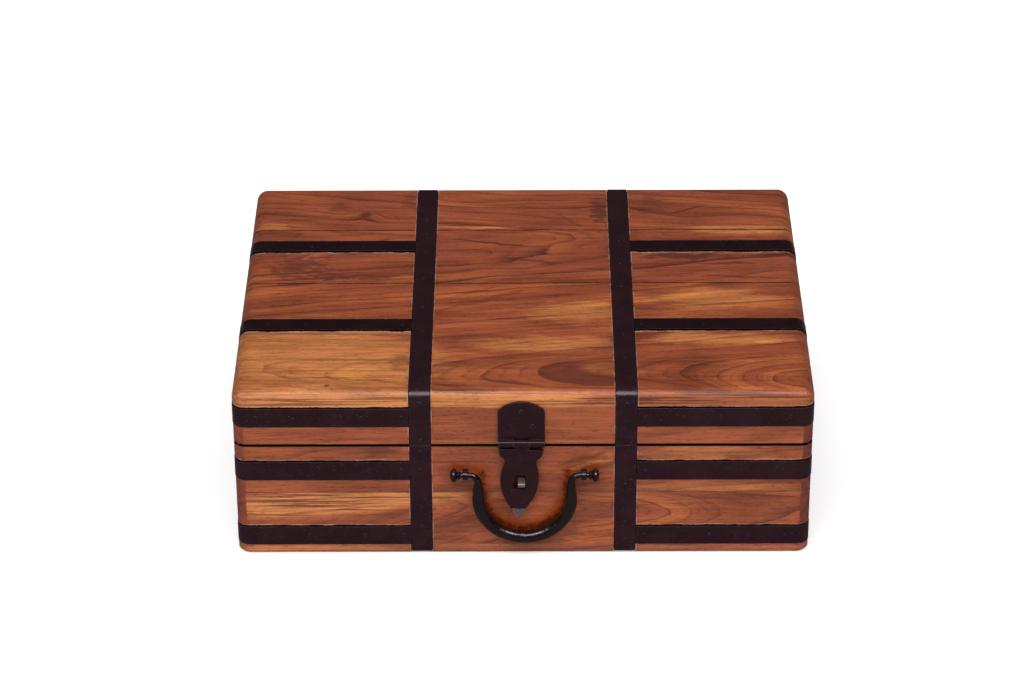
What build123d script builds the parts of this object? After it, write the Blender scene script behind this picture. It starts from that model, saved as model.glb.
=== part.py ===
"""Ditty box: a flat hardwood box for papers and keepsakes, bound with inlaid iron straps.

Frame: millimetres, +Z up, +X to the right as seen from the hasp side, +Y to the back.
The origin is the middle of the face that the box stands on.
"""
from build123d import *
import os
from math import cos, radians, sin

# ---------------------------------------------------------------- the wooden box
box_width = 400.0  # outside, left to right
box_depth = 296.0  # outside, front to back
box_height = 133.0
lid_height = 43.0  # from the top down to the joint, where the lid's rim meets the base's rim
wall = 12.0  # front, back and end boards
end_lap = 7.0  # part of an end board that covers the end grain of the front and back boards
bottom_thk = 8.0
top_thk = 12.8
corner_r = 8.5  # upright corners
top_edge_r = 8.0
bottom_ease = 2.6
rim_ease = 1.2  # softened outer edge of both rims
upper_board = 38.4  # height of the upper of the two boards of each base wall
top_front_board = 149.5  # width of the lid's front board
top_middle_board = 78.5
bottom_boards = 3  # boards of the bottom, all of one width

# ---------------------------------------------------------------- the iron straps
strap_thk = 1.8
strap_proud = 0.3  # how far a strap stands out of the wood
strap_w = 14.5
strap_x = 71.0  # upright straps, to each side of the middle
side_strap_y = 56.4  # straps across the lid's sides, in front of and behind the middle
band_w = 14.6
lid_band_drop = 27.7  # from the lid's top down to the lower edge of its band
upper_band_drop = 28.1  # from the joint down to the lower edge of the base's upper band
fit_gap = 0.3  # between a strap and the edge of its groove or the strap that it butts
foot_recess = 0.7  # the straps under the box are sunk, so that it stands on wood

# ---------------------------------------------------------------- nails
nail_shank = 1.2
nail_length = 6.5  # under the head
nail_head_w = 2.6
nail_head_h = 0.6

# ---------------------------------------------------------------- rear hinges
hinge_standoff = 2.0  # from the back face out to the hinge axis
hinge_pin_r = 1.5
pin_fit = 0.06  # radial play of a pin in the knuckle that turns
knuckle_wall = 1.4
knuckle_gap = 0.25  # between neighbouring knuckles
turn_gap = 0.3  # between a knuckle and the other leaf
hinge_leaf_len = 24.0

# ---------------------------------------------------------------- hasp
hasp_x = -1.2  # the hasp sits a little left of the middle
hasp_thk = 1.6
hasp_w = 32.4
hasp_top_drop = 7.2  # from the lid's top down to the top of the plate
hasp_arch = 7.2  # rise of the plate's arched top
hasp_arch_ease = 4.0
hasp_axis_up = 3.4  # from the joint up to the hasp's hinge axis
hasp_axis_out = 3.0  # from the front face out to the hasp's hinge axis
hasp_pin_r = 1.3
hasp_knuckle_r = 2.8
leaf_shoulder = 4.9  # from the axis down to the leaf's square shoulder
leaf_lean = 2.5  # degrees that the hand-made leaf leans to the left
leaf_shoulder_half = 15.4
leaf_ear = 9.1  # all leaf levels are measured down from the axis
leaf_ear_half = 14.8
leaf_scoop = 12.3
leaf_scoop_half = 12.4
leaf_neck = 13.1
leaf_neck_half = 11.2
leaf_waist = 16.0
leaf_waist_half = 11.0
leaf_belly_half = 13.4
leaf_belly = 29.5
leaf_flank_half = 10.9
leaf_flank = 42.5
leaf_taper_half = 8.3
leaf_taper = 48.0
leaf_lip_half = 4.8
leaf_lip = 53.6
lip_length = 5.0
lip_tip_half = 1.6
lip_angle = 40
slot_w = 8.8
slot_top = 25.3
slot_h = 12.3
slot_r = 1.2

# ---------------------------------------------------------------- hasp staple
staple_w = 5.0
staple_h = 5.8
staple_thk = 1.4
staple_out = 8.8  # from the front face to the outside of its crown
staple_play = 7.2  # from the slot's top edge down to the middle of the staple

# ---------------------------------------------------------------- drop handle
handle_x = 1.0  # the handle sits a little right of the middle
pivot_drop = 20.7  # from the joint down to the pivot line
pivot_out = 6.0  # from the front face out to the pivot line
bail_half = 32.2  # from the middle to the centre line of an arm
bail_drop = 50.9  # from the pivot line down to the centre line of the grip
grip_r = 4.6
forged_flats = 16  # round the grip and the arms
arm_top_r = 2.7  # the arms taper to this
neck_r = 2.0  # where the bail turns in its split pins
neck_cone = 0.8
bend_r = 6.5  # where an arm turns outward to its pivot
eye_x = 41.0  # split pins, to each side of the handle's middle
eye_fit = 0.25  # radial play of the bail in its split pins
eye_wall = 1.3
eye_w = 3.4
knob_r = 5.0
knob_len = 6.9
knob_gap = 2.1  # between a split pin and the knob outside it
knob_end_r = 3.2
knob_bevel = 1.7
clinch_thk = 1.1  # ends of the split pins and the staple, bent flat inside the box
clinch_len = 6.0
hasp_nail_up = (0.321, 0.321, 0.734)  # as parts of the plate's height
hasp_nail_across = (-8.0, 7.6, 0.0)
hole_fit = 0.1  # around shanks that go through the front board

# ---------------------------------------------------------------- worked out from the above
half_w = box_width / 2
half_d = box_depth / 2
front_y = -half_d
groove_depth = strap_thk - strap_proud
strap_half = strap_w / 2
groove_half = strap_half + fit_gap
joint_z = box_height - lid_height
wall_seam_z = joint_z - upper_board
lid_band_low = box_height - lid_band_drop
upper_band_low = joint_z - upper_band_drop
hasp_axis_z = joint_z + hasp_axis_up
hasp_top_z = box_height - hasp_top_drop
pivot_z = joint_z - pivot_drop
lid_wall_top = box_height - top_thk
lower_band_low = bottom_thk + fit_gap
hinge_y = half_d + hinge_standoff
hasp_y = front_y - hasp_axis_out
pivot_y = front_y - pivot_out
front_upright = half_w - end_lap  # half length of the front and back boards
reach = 20.0  # how far cutting blocks run past the wood
sides = (-1, 1)
side_name = {-1: "left", 1: "right"}


def block(low, high, mode=Mode.ADD):
    """A plain block between two opposite corners."""
    size = [b - a for a, b in zip(low, high)]
    middle = [(a + b) / 2 for a, b in zip(low, high)]
    with Locations(tuple(middle)):
        Box(*size, mode=mode)


def rod(radius, x_low, x_high, y, z, mode=Mode.ADD):
    """A round rod along X."""
    with Locations(Location(((x_low + x_high) / 2, y, z), (0, 90, 0))):
        Cylinder(radius, x_high - x_low, mode=mode)


def rounded_block(grow, z_low, z_high, top_r=0.0, ease=0.0, rim_z=None):
    """The outside of the box or of a layer of it, grown or shrunk all round by one amount.

    rim_z is the height of a rim, whose outer edge is eased.
    """
    with BuildPart() as shape:
        with BuildSketch(Plane.XY.offset(z_low)):
            RectangleRounded(box_width + 2 * grow, box_depth + 2 * grow, corner_r + grow)
        extrude(amount=z_high - z_low)
        if top_r:
            fillet(shape.faces().sort_by(Axis.Z)[-1].edges(), top_r)
        if ease:
            chamfer(shape.faces().sort_by(Axis.Z)[0].edges(), ease)
        if rim_z is not None:
            rim = shape.faces().filter_by(Axis.Z).sort_by(lambda face: abs(face.center().Z - rim_z))[0]
            chamfer(rim.edges(), rim_ease)
    return shape.part


# Outer shapes: the wood, the outside of the straps, and the floor of their grooves.
base_wood = rounded_block(0, 0, joint_z, 0, bottom_ease, joint_z)
base_skin = rounded_block(strap_proud, foot_recess, joint_z + reach, 0, bottom_ease)
base_core = rounded_block(
    -groove_depth, foot_recess + strap_thk, joint_z + reach, 0, bottom_ease - strap_thk
)
lid_wood = rounded_block(0, joint_z, box_height, top_edge_r, 0, joint_z)
lid_skin = rounded_block(strap_proud, joint_z - reach, box_height + strap_proud, top_edge_r + strap_proud)
lid_core = rounded_block(
    -groove_depth, joint_z - reach, box_height - groove_depth, top_edge_r - groove_depth
)

# Grooves that the straps are let into.
band_x = strap_x + strap_half + fit_gap  # where the bands and side straps start
with BuildPart() as base_grooves:
    for side in sides:
        block(
            (side * strap_x - groove_half, -half_d - reach, -reach),
            (side * strap_x + groove_half, half_d + reach, joint_z + reach),
        )
        for low in (lower_band_low, upper_band_low):
            x_ends = sorted((side * strap_x, side * (half_w + reach)))
            block(
                (x_ends[0], -half_d - reach, low - fit_gap),
                (x_ends[1], half_d + reach, low + band_w + fit_gap),
            )
    add(base_core, mode=Mode.SUBTRACT)

with BuildPart() as lid_grooves:
    for side in sides:
        x_ends = sorted((side * strap_x, side * (half_w + reach)))
        block(
            (side * strap_x - groove_half, -half_d - reach, joint_z - reach),
            (side * strap_x + groove_half, half_d + reach, box_height + reach),
        )
        block(
            (x_ends[0], -half_d - reach, lid_band_low - fit_gap),
            (x_ends[1], half_d + reach, lid_band_low + band_w + fit_gap),
        )
        for row in (-1, 1):
            block(
                (x_ends[0], row * side_strap_y - groove_half, lid_wall_top),
                (x_ends[1], row * side_strap_y + groove_half, box_height + reach),
            )
    add(lid_core, mode=Mode.SUBTRACT)

made = {}


def keep(label, part):
    """Label a finished piece and note it for export."""
    part.label = label
    made[label] = part


def keep_plank(label, low, high, wood, grooves, cuts=()):
    """A straight board: its corners, the box's rounded outside, and its grooves and holes."""
    with BuildPart() as plank:
        block(low, high)
        add(wood, mode=Mode.INTERSECT)
        add(grooves, mode=Mode.SUBTRACT)
        for cut in cuts:
            add(cut, mode=Mode.SUBTRACT)
    keep(label, plank.part)


def keep_end_board(label, side, z_low, z_high, wood, grooves):
    """An end board, rabbeted at both ends to cover the front and back boards."""
    with BuildPart() as plank:
        with BuildSketch(Plane.XY.offset(z_low)):
            with Locations((side * (half_w - end_lap / 2), 0)):
                Rectangle(end_lap, box_depth)
            with Locations((side * (half_w - wall / 2), 0)):
                Rectangle(wall, box_depth - 2 * wall)
        extrude(amount=z_high - z_low)
        add(wood, mode=Mode.INTERSECT)
        add(grooves, mode=Mode.SUBTRACT)
    keep(label, plank.part)


# ---------------------------------------------------------------- holes through the front board
slot_middle = slot_top + slot_h / 2
staple_z = hasp_axis_z - slot_top - staple_play
with BuildPart() as staple_hole:
    for leg in (-1, 1):
        leg_z = staple_z + leg * (staple_h - staple_thk) / 2
        half_leg = staple_thk / 2 + hole_fit
        block(
            (hasp_x - staple_w / 2 - hole_fit, front_y - wall, leg_z - half_leg),
            (hasp_x + staple_w / 2 + hole_fit, front_y + 2 * wall, leg_z + half_leg),
        )
with BuildPart() as eye_holes:
    for side in sides:
        half_leg = clinch_thk + hole_fit
        x_mid = handle_x + side * eye_x
        block(
            (x_mid - eye_w / 2 - hole_fit, front_y - wall, pivot_z - half_leg),
            (x_mid + eye_w / 2 + hole_fit, front_y + 2 * wall, pivot_z + half_leg),
        )

# ---------------------------------------------------------------- base boards
board_edges = [-half_d + box_depth * board / bottom_boards for board in range(bottom_boards + 1)]
for name, y_low, y_high in zip(("front", "middle", "back"), board_edges, board_edges[1:]):
    keep_plank(
        f"base_bottom_{name}",
        (-half_w, y_low, 0),
        (half_w, y_high, bottom_thk),
        base_wood,
        base_grooves.part,
    )

for level, z_low, z_high in (("lower", bottom_thk, wall_seam_z), ("upper", wall_seam_z, joint_z)):
    front_cuts = (staple_hole.part, eye_holes.part) if level == "upper" else ()
    keep_plank(
        f"base_front_{level}",
        (-front_upright, -half_d, z_low),
        (front_upright, -half_d + wall, z_high),
        base_wood,
        base_grooves.part,
        front_cuts,
    )
    keep_plank(
        f"base_back_{level}",
        (-front_upright, half_d - wall, z_low),
        (front_upright, half_d, z_high),
        base_wood,
        base_grooves.part,
    )
    for side in sides:
        keep_end_board(
            f"base_{side_name[side]}_{level}", side, z_low, z_high, base_wood, base_grooves.part
        )

# ---------------------------------------------------------------- lid boards
lid_seam = -half_d + top_front_board
lid_edges = (-half_d, lid_seam, lid_seam + top_middle_board, half_d)
for name, y_low, y_high in zip(("front", "middle", "back"), lid_edges, lid_edges[1:]):
    keep_plank(
        f"lid_top_{name}",
        (-half_w, y_low, lid_wall_top),
        (half_w, y_high, box_height),
        lid_wood,
        lid_grooves.part,
    )
keep_plank(
    "lid_front",
    (-front_upright, -half_d, joint_z),
    (front_upright, -half_d + wall, lid_wall_top),
    lid_wood,
    lid_grooves.part,
)
keep_plank(
    "lid_back",
    (-front_upright, half_d - wall, joint_z),
    (front_upright, half_d, lid_wall_top),
    lid_wood,
    lid_grooves.part,
)
for side in sides:
    keep_end_board(f"lid_{side_name[side]}", side, joint_z, lid_wall_top, lid_wood, lid_grooves.part)


# ---------------------------------------------------------------- nails
with BuildPart() as nail:
    with BuildSketch():
        Rectangle(nail_head_w, nail_head_w)
    loft(sections=[nail.pending_faces[0], Vertex(0, 0, nail_head_h)])
    with BuildSketch():
        Rectangle(nail_shank, nail_shank)
    extrude(amount=-nail_length)


def facing(x, y, z, out):
    """Where a nail's head sits, and the way that it looks."""
    return Plane(origin=(x, y, z), x_dir=(out[1], -out[0], 0) if not out[2] else (1, 0, 0), z_dir=out)


def along(low, high, parts):
    """Places at the given parts of the way from low to high."""
    return [low + (high - low) * part for part in parts]


front_out, back_out, top_out, under_out = (0, -1, 0), (0, 1, 0), (0, 0, 1), (0, 0, -1)
skin_front, skin_back = -half_d - strap_proud, half_d + strap_proud
skin_top = box_height + strap_proud
skin_end = half_w + strap_proud

# Nails of each strap, as parts of the run that they hold.
top_run = {-1: (0.064, 0.131, 0.278, 0.391, 0.531, 0.66, 0.756, 0.823, 0.928),
           1: (0.048, 0.156, 0.261, 0.384, 0.489, 0.602, 0.718, 0.852)}
lid_front_run = (0.1, 0.78)
base_front_run = {-1: (0.255, 0.43, 0.777, 0.94), 1: (0.13, 0.298, 0.636, 0.926)}
under_run = (0.1, 0.3, 0.5, 0.7, 0.9)
base_back_run = (0.13, 0.35, 0.62)
lid_back_run = 0.66
side_strap_run = {(-1, -1): (0.046, 0.29, 0.609, 0.829), (-1, 1): (0.045, 0.313, 0.626, 0.873),
                  (1, -1): (0.045, 0.314, 0.407, 0.876), (1, 1): (0.045, 0.3, 0.563, 0.713, 0.84)}
band_front_run = {
    "lid": {-1: (0.045, 0.27, 0.676, 0.868), 1: (0.045, 0.264, 0.467, 0.659, 0.867)},
    "upper": {-1: (0.05, 0.234, 0.433, 0.626, 0.832), 1: (0.05, 0.21, 0.409, 0.63, 0.835)},
    "lower": {-1: (0.045, 0.267, 0.584, 0.842), 1: (0.045, 0.218, 0.425, 0.649, 0.856)},
}
band_back_run = (0.045, 0.3, 0.58, 0.85)
band_end_run = (0.1, 0.36, 0.64, 0.9)


def band_nails(side, z, front_run):
    """Nails of one band: along the front, the end and the back."""
    places = []
    for x in along(band_x, half_w, front_run):
        places.append(facing(side * x, skin_front, z, front_out))
    for y in along(-half_d, half_d, band_end_run):
        places.append(facing(side * skin_end, y, z, (side, 0, 0)))
    for x in along(band_x, half_w, band_back_run):
        places.append(facing(side * x, skin_back, z, back_out))
    return places


def keep_nails(label, places):
    """A set of like nails, as one node of separate solids."""
    with BuildPart() as group:
        with Locations(*places):
            add(nail.part)
    keep(label, group.part)


def keep_strap(label, boxes, skin, core):
    """A strap let into its groove. Its nails are driven through it."""
    with BuildPart() as strap:
        for low, high in boxes:
            block(low, high)
        add(skin, mode=Mode.INTERSECT)
        add(core, mode=Mode.SUBTRACT)
    keep(label, strap.part)


# ---------------------------------------------------------------- straps and bands
leaf_end_low = joint_z - hinge_leaf_len - fit_gap  # where the base strap stops below its hinge leaf
leaf_end_high = joint_z + hinge_leaf_len + fit_gap
lid_strap_nails, base_strap_nails, side_strap_nails, lid_band_nails = [], [], [], []
upper_band_nails, lower_band_nails = [], []
for side in sides:
    name = side_name[side]
    x_mid = side * strap_x
    x_low, x_high = x_mid - strap_half, x_mid + strap_half

    places = [facing(x_mid, y, skin_top, top_out) for y in along(-half_d, half_d, top_run[side])]
    places += [facing(x_mid, skin_front, z, front_out) for z in along(joint_z, box_height, lid_front_run)]
    places += [facing(x_mid, skin_back, joint_z + lid_height * lid_back_run, back_out)]
    lid_boxes = [
        ((x_low, -half_d - reach, joint_z), (x_high, 0, box_height + reach)),
        ((x_low, 0, leaf_end_high), (x_high, half_d + reach, box_height + reach)),
    ]
    keep_strap(f"lid_strap_{name}", lid_boxes, lid_skin, lid_core)
    lid_strap_nails += places

    places = [facing(x_mid, skin_front, z, front_out) for z in along(0, joint_z, base_front_run[side])]
    places += [facing(x_mid, y, foot_recess, under_out) for y in along(-half_d, half_d, under_run)]
    places += [facing(x_mid, skin_back, z, back_out) for z in along(0, joint_z, base_back_run)]
    base_boxes = [
        ((x_low, -half_d - reach, -reach), (x_high, 0, joint_z)),
        ((x_low, 0, -reach), (x_high, half_d + reach, leaf_end_low)),
    ]
    keep_strap(f"base_strap_{name}", base_boxes, base_skin, base_core)
    base_strap_nails += places

    x_ends = sorted((side * band_x, side * (half_w + reach)))
    for band, low, skin, core, nails in (
        ("lid_band", lid_band_low, lid_skin, lid_core, lid_band_nails),
        ("base_upper_band", upper_band_low, base_skin, base_core, upper_band_nails),
        ("base_lower_band", lower_band_low, base_skin, base_core, lower_band_nails),
    ):
        run = band_front_run[band.replace("base_", "").split("_")[0]][side]
        places = band_nails(side, low + band_w / 2, run)
        band_box = ((x_ends[0], -half_d - reach, low), (x_ends[1], half_d + reach, low + band_w))
        keep_strap(f"{band}_{name}", [band_box], skin, core)
        nails += places

    for row, row_name in ((-1, "front"), (1, "back")):
        y_mid = row * side_strap_y
        places = [
            facing(side * x, y_mid, skin_top, top_out)
            for x in along(band_x, half_w, side_strap_run[side, row])
        ]
        side_box = (
            (x_ends[0], y_mid - strap_half, lid_wall_top + fit_gap),
            (x_ends[1], y_mid + strap_half, box_height + reach),
        )
        keep_strap(f"lid_side_strap_{row_name}_{name}", [side_box], lid_skin, lid_core)
        side_strap_nails += places

keep_nails("lid_strap_nails", lid_strap_nails)
keep_nails("base_strap_nails", base_strap_nails)
keep_nails("lid_side_strap_nails", side_strap_nails)
keep_nails("lid_band_nails", lid_band_nails)
keep_nails("base_upper_band_nails", upper_band_nails)
keep_nails("base_lower_band_nails", lower_band_nails)

# ---------------------------------------------------------------- rear hinges
knuckle_r = hinge_pin_r + pin_fit + knuckle_wall
knuckle_len = strap_w / 3
hinge_leaf_nails = (9.0, 18.0)  # from the joint


def hinge_leaf(x_mid, up, spans):
    """One leaf of a rear hinge, let into the strap's groove, with its edge rolled round the pin."""
    y_in, y_out = half_d - groove_depth, half_d + strap_proud
    plate_edge = joint_z + up * (knuckle_r + turn_gap)
    far_edge = joint_z + up * hinge_leaf_len
    z_plate = sorted((plate_edge, far_edge))
    z_roll = sorted((joint_z, plate_edge))
    with BuildPart() as leaf:
        block((x_mid - strap_half, y_in, z_plate[0]), (x_mid + strap_half, y_out, z_plate[1]))
        for low, high in spans:
            block((x_mid + low, y_in, z_roll[0]), (x_mid + high, y_out, z_roll[1]))
            rod(knuckle_r, x_mid + low, x_mid + high, hinge_y, joint_z)
        rod(hinge_pin_r + pin_fit, x_mid - strap_half, x_mid + strap_half, hinge_y, joint_z, Mode.SUBTRACT)
    return leaf.part, [facing(x_mid, y_out, joint_z + up * z, back_out) for z in hinge_leaf_nails]


outer_spans = (
    (-strap_half, -knuckle_len / 2 - knuckle_gap),
    (knuckle_len / 2 + knuckle_gap, strap_half),
)
middle_span = ((-knuckle_len / 2, knuckle_len / 2),)
base_hinge_nails, lid_hinge_nails = [], []
for side in sides:
    x_mid = side * strap_x
    leaf, places = hinge_leaf(x_mid, -1, outer_spans)
    keep(f"base_hinge_leaf_{side_name[side]}", leaf)
    base_hinge_nails += places
    leaf, places = hinge_leaf(x_mid, 1, middle_span)
    keep(f"lid_hinge_leaf_{side_name[side]}", leaf)
    lid_hinge_nails += places
    with BuildPart() as pin:
        rod(hinge_pin_r, x_mid - strap_half, x_mid + strap_half, hinge_y, joint_z)
    keep(f"lid_hinge_pin_{side_name[side]}", pin.part)
keep_nails("base_hinge_nails", base_hinge_nails)
keep_nails("lid_hinge_nails", lid_hinge_nails)

# ---------------------------------------------------------------- hasp
hasp_half = hasp_w / 2
hasp_third = hasp_w / 3
hasp_bore = hasp_pin_r + pin_fit
plate_low = hasp_axis_z + hasp_knuckle_r + turn_gap
plate_height = hasp_top_z - plate_low
plate_out = front_y - hasp_thk
hasp_places = [
    facing(hasp_x + across, plate_out, plate_low + plate_height * up, front_out)
    for across, up in zip(hasp_nail_across, hasp_nail_up)
]

with BuildPart() as hasp_plate:
    with BuildSketch(Plane(origin=(hasp_x, front_y, plate_low), x_dir=(1, 0, 0), z_dir=(0, -1, 0))) as face:
        with BuildLine():
            Polyline(
                (-hasp_half, plate_height - hasp_arch),
                (-hasp_half, 0),
                (hasp_half, 0),
                (hasp_half, plate_height - hasp_arch),
            )
            ThreePointArc(
                (hasp_half, plate_height - hasp_arch),
                (0, plate_height),
                (-hasp_half, plate_height - hasp_arch),
            )
        make_face()
        fillet(face.vertices().group_by(Axis.Y)[-1], hasp_arch_ease)
    extrude(amount=hasp_thk)
    for side in sides:
        ends = sorted((hasp_x + side * hasp_half, hasp_x + side * (hasp_third / 2 + knuckle_gap)))
        block((ends[0], plate_out, hasp_axis_z), (ends[1], front_y, plate_low))
        rod(hasp_knuckle_r, ends[0], ends[1], hasp_y, hasp_axis_z)
    rod(hasp_bore, hasp_x - hasp_half, hasp_x + hasp_half, hasp_y, hasp_axis_z, Mode.SUBTRACT)
keep("hasp_plate", hasp_plate.part)
keep_nails("hasp_plate_nails", hasp_places)

with BuildPart() as hasp_pin:
    rod(hasp_pin_r, hasp_x - hasp_half, hasp_x + hasp_half, hasp_y, hasp_axis_z)
keep("hasp_pin", hasp_pin.part)

lean = radians(leaf_lean)
leaf_plane = Plane(
    origin=(hasp_x, hasp_y, hasp_axis_z), x_dir=(cos(lean), 0, -sin(lean)), z_dir=(0, -1, 0)
)
lip_plane = Plane(
    origin=leaf_plane.from_local_coords((0, -leaf_lip, 0)),
    x_dir=leaf_plane.x_dir,
    z_dir=leaf_plane.z_dir.rotate(Axis((0, 0, 0), leaf_plane.x_dir), -lip_angle),
)
with BuildPart() as hasp_leaf:
    with BuildSketch(leaf_plane) as leaf_face:
        with BuildLine() as outline:
            Polyline((0, -leaf_shoulder), (leaf_shoulder_half, -leaf_shoulder), (leaf_ear_half, -leaf_ear))
            Spline(
                (leaf_ear_half, -leaf_ear),
                (leaf_scoop_half, -leaf_scoop),
                (leaf_neck_half, -leaf_neck),
            )
            Line((leaf_neck_half, -leaf_neck), (leaf_waist_half, -leaf_waist))
            ThreePointArc(
                (leaf_waist_half, -leaf_waist),
                (leaf_belly_half, -leaf_belly),
                (leaf_flank_half, -leaf_flank),
            )
            ThreePointArc(
                (leaf_flank_half, -leaf_flank),
                (leaf_taper_half, -leaf_taper),
                (leaf_lip_half, -leaf_lip),
            )
            Line((leaf_lip_half, -leaf_lip), (0, -leaf_lip))
            mirror(about=Plane.YZ)
        make_face()
        with Locations((0, -slot_middle)):
            RectangleRounded(slot_w, slot_h, slot_r, mode=Mode.SUBTRACT)
    extrude(amount=hasp_thk / 2, both=True)
    with BuildSketch(lip_plane):
        with BuildLine():
            Polyline(
                (-leaf_lip_half, 0),
                (leaf_lip_half, 0),
                (lip_tip_half, -lip_length),
                (-lip_tip_half, -lip_length),
                close=True,
            )
        make_face()
    extrude(amount=hasp_thk / 2, both=True)
    with Locations(Location(lip_plane.origin, (0, 90 + leaf_lean, 0))):
        Cylinder(hasp_thk / 2, 2 * leaf_lip_half)
    block(
        (hasp_x - hasp_third / 2, hasp_y - hasp_thk / 2, hasp_axis_z - leaf_shoulder - hasp_thk),
        (hasp_x + hasp_third / 2, hasp_y + hasp_thk / 2, hasp_axis_z - hasp_pin_r - pin_fit),
    )
    rod(hasp_knuckle_r, hasp_x - hasp_third / 2, hasp_x + hasp_third / 2, hasp_y, hasp_axis_z)
    rod(hasp_bore, hasp_x - hasp_third, hasp_x + hasp_third, hasp_y, hasp_axis_z, Mode.SUBTRACT)
keep("hasp_leaf", hasp_leaf.part)

# ---------------------------------------------------------------- hasp staple
inside_y = front_y + wall
staple_crown_y = front_y - staple_out + staple_h / 2
with BuildPart() as staple:
    for leg in (-1, 1):
        leg_z = sorted((staple_z + leg * staple_h / 2, staple_z + leg * (staple_h / 2 - staple_thk)))
        x_ends = (hasp_x - staple_w / 2, hasp_x + staple_w / 2)
        block((x_ends[0], staple_crown_y, leg_z[0]), (x_ends[1], inside_y + clinch_thk, leg_z[1]))
        bent = sorted((staple_z + leg * (staple_h / 2 - staple_thk), staple_z + leg * (staple_h / 2 + clinch_len)))
        block((x_ends[0], inside_y, bent[0]), (x_ends[1], inside_y + clinch_thk, bent[1]))
    with BuildSketch(Plane.YZ.offset(hasp_x)) as crown:
        with Locations((staple_crown_y, staple_z)):
            Circle(staple_h / 2)
            Circle(staple_h / 2 - staple_thk, mode=Mode.SUBTRACT)
        with Locations((staple_crown_y + staple_h / 2, staple_z)):
            Rectangle(staple_h, staple_h, mode=Mode.SUBTRACT)
    extrude(amount=staple_w / 2, both=True)
keep("hasp_staple", staple.part)

# ---------------------------------------------------------------- split pins of the handle
eye_bore = neck_r + eye_fit
eye_outer = eye_bore + eye_wall
for side in sides:
    x_mid = handle_x + side * eye_x
    x_ends = (x_mid - eye_w / 2, x_mid + eye_w / 2)
    with BuildPart() as eye:
        block(
            (x_ends[0], pivot_y + eye_bore, pivot_z - clinch_thk),
            (x_ends[1], inside_y + clinch_thk, pivot_z + clinch_thk),
        )
        block(
            (x_ends[0], inside_y, pivot_z - clinch_len),
            (x_ends[1], inside_y + clinch_thk, pivot_z + clinch_len),
        )
        rod(eye_outer, x_ends[0], x_ends[1], pivot_y, pivot_z)
        rod(eye_bore, x_ends[0], x_ends[1], pivot_y, pivot_z, Mode.SUBTRACT)
    keep(f"handle_eye_{side_name[side]}", eye.part)

# ---------------------------------------------------------------- handle
bow_r = bail_half
bow_z = pivot_z - bail_drop + bow_r  # centre of the grip's half circle
arm_z = pivot_z - bend_r  # top of the straight arms
knob_start = eye_x + eye_w / 2 + knob_gap - bail_half - bend_r  # from the end of the bend
knob_end = knob_start + knob_len

with BuildPart() as bail:
    with BuildSketch(Plane.XY.offset(bow_z)):
        with Locations((handle_x - bow_r, pivot_y)):
            RegularPolygon(grip_r, forged_flats)
    revolve(axis=Axis((handle_x, pivot_y, bow_z), (0, -1, 0)), revolution_arc=180)
    for side in sides:
        arm_x = handle_x + side * bail_half
        bend_x = arm_x + side * bend_r
        with BuildSketch(Plane.XY.offset(bow_z)):
            with Locations((arm_x, pivot_y)):
                RegularPolygon(grip_r, forged_flats)
        with BuildSketch(Plane.XY.offset(arm_z)):
            with Locations((arm_x, pivot_y)):
                RegularPolygon(arm_top_r, forged_flats)
        loft(ruled=True)
        with BuildSketch(Plane.XY.offset(arm_z)):
            with Locations((arm_x, pivot_y)):
                RegularPolygon(arm_top_r, forged_flats)
        revolve(axis=Axis((bend_x, pivot_y, arm_z), (0, side, 0)), revolution_arc=90)
        with BuildSketch(Plane(origin=(bend_x, pivot_y, pivot_z), x_dir=(side, 0, 0), z_dir=(0, -side, 0))):
            with BuildLine():
                Polyline(
                    (0, 0),
                    (0, arm_top_r),
                    (neck_cone, neck_r),
                    (knob_start, neck_r),
                    (knob_start, knob_end_r),
                    (knob_start + knob_bevel, knob_r),
                    (knob_end - knob_bevel, knob_r),
                    (knob_end, knob_end_r),
                    (knob_end, 0),
                    close=True,
                )
            make_face()
        revolve(axis=Axis((bend_x, pivot_y, pivot_z), (1, 0, 0)))
keep("handle_bail", bail.part)

os.makedirs("parts", exist_ok=True)
for label, part in made.items():
    export_step(part, f"parts/{label}.step")
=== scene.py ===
"""Dresses the ditty box: oiled boards, inlaid iron straps, nails, hinges, hasp and drop handle."""

from collections import namedtuple
from math import cos, pi, radians, sin

import bmesh
import bpy
from bpy.props import FloatProperty, FloatVectorProperty, IntProperty, PointerProperty
from mathutils import Euler, Matrix, Vector


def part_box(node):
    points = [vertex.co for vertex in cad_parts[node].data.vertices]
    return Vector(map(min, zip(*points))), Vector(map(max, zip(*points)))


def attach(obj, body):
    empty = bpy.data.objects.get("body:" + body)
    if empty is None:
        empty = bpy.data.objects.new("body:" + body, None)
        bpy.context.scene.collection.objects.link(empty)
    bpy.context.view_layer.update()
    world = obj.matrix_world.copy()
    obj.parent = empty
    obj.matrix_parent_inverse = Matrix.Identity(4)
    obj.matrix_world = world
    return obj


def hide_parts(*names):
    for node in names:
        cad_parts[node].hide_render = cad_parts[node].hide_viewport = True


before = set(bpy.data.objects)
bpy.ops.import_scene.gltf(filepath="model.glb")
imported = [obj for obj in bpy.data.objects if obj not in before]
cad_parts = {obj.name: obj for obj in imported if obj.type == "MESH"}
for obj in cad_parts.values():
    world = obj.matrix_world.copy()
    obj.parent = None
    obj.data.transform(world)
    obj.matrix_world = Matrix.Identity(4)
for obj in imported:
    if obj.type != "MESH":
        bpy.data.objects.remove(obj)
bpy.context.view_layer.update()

bl_info = {
    "name": "Ditty Box Finish",
    "version": (1, 0, 0),
    "blender": (4, 5, 0),
    "location": "View3D > Sidebar > Ditty Box",
    "description": "Timber, iron and nails for an iron-bound ditty box",
    "category": "Object",
}

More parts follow.
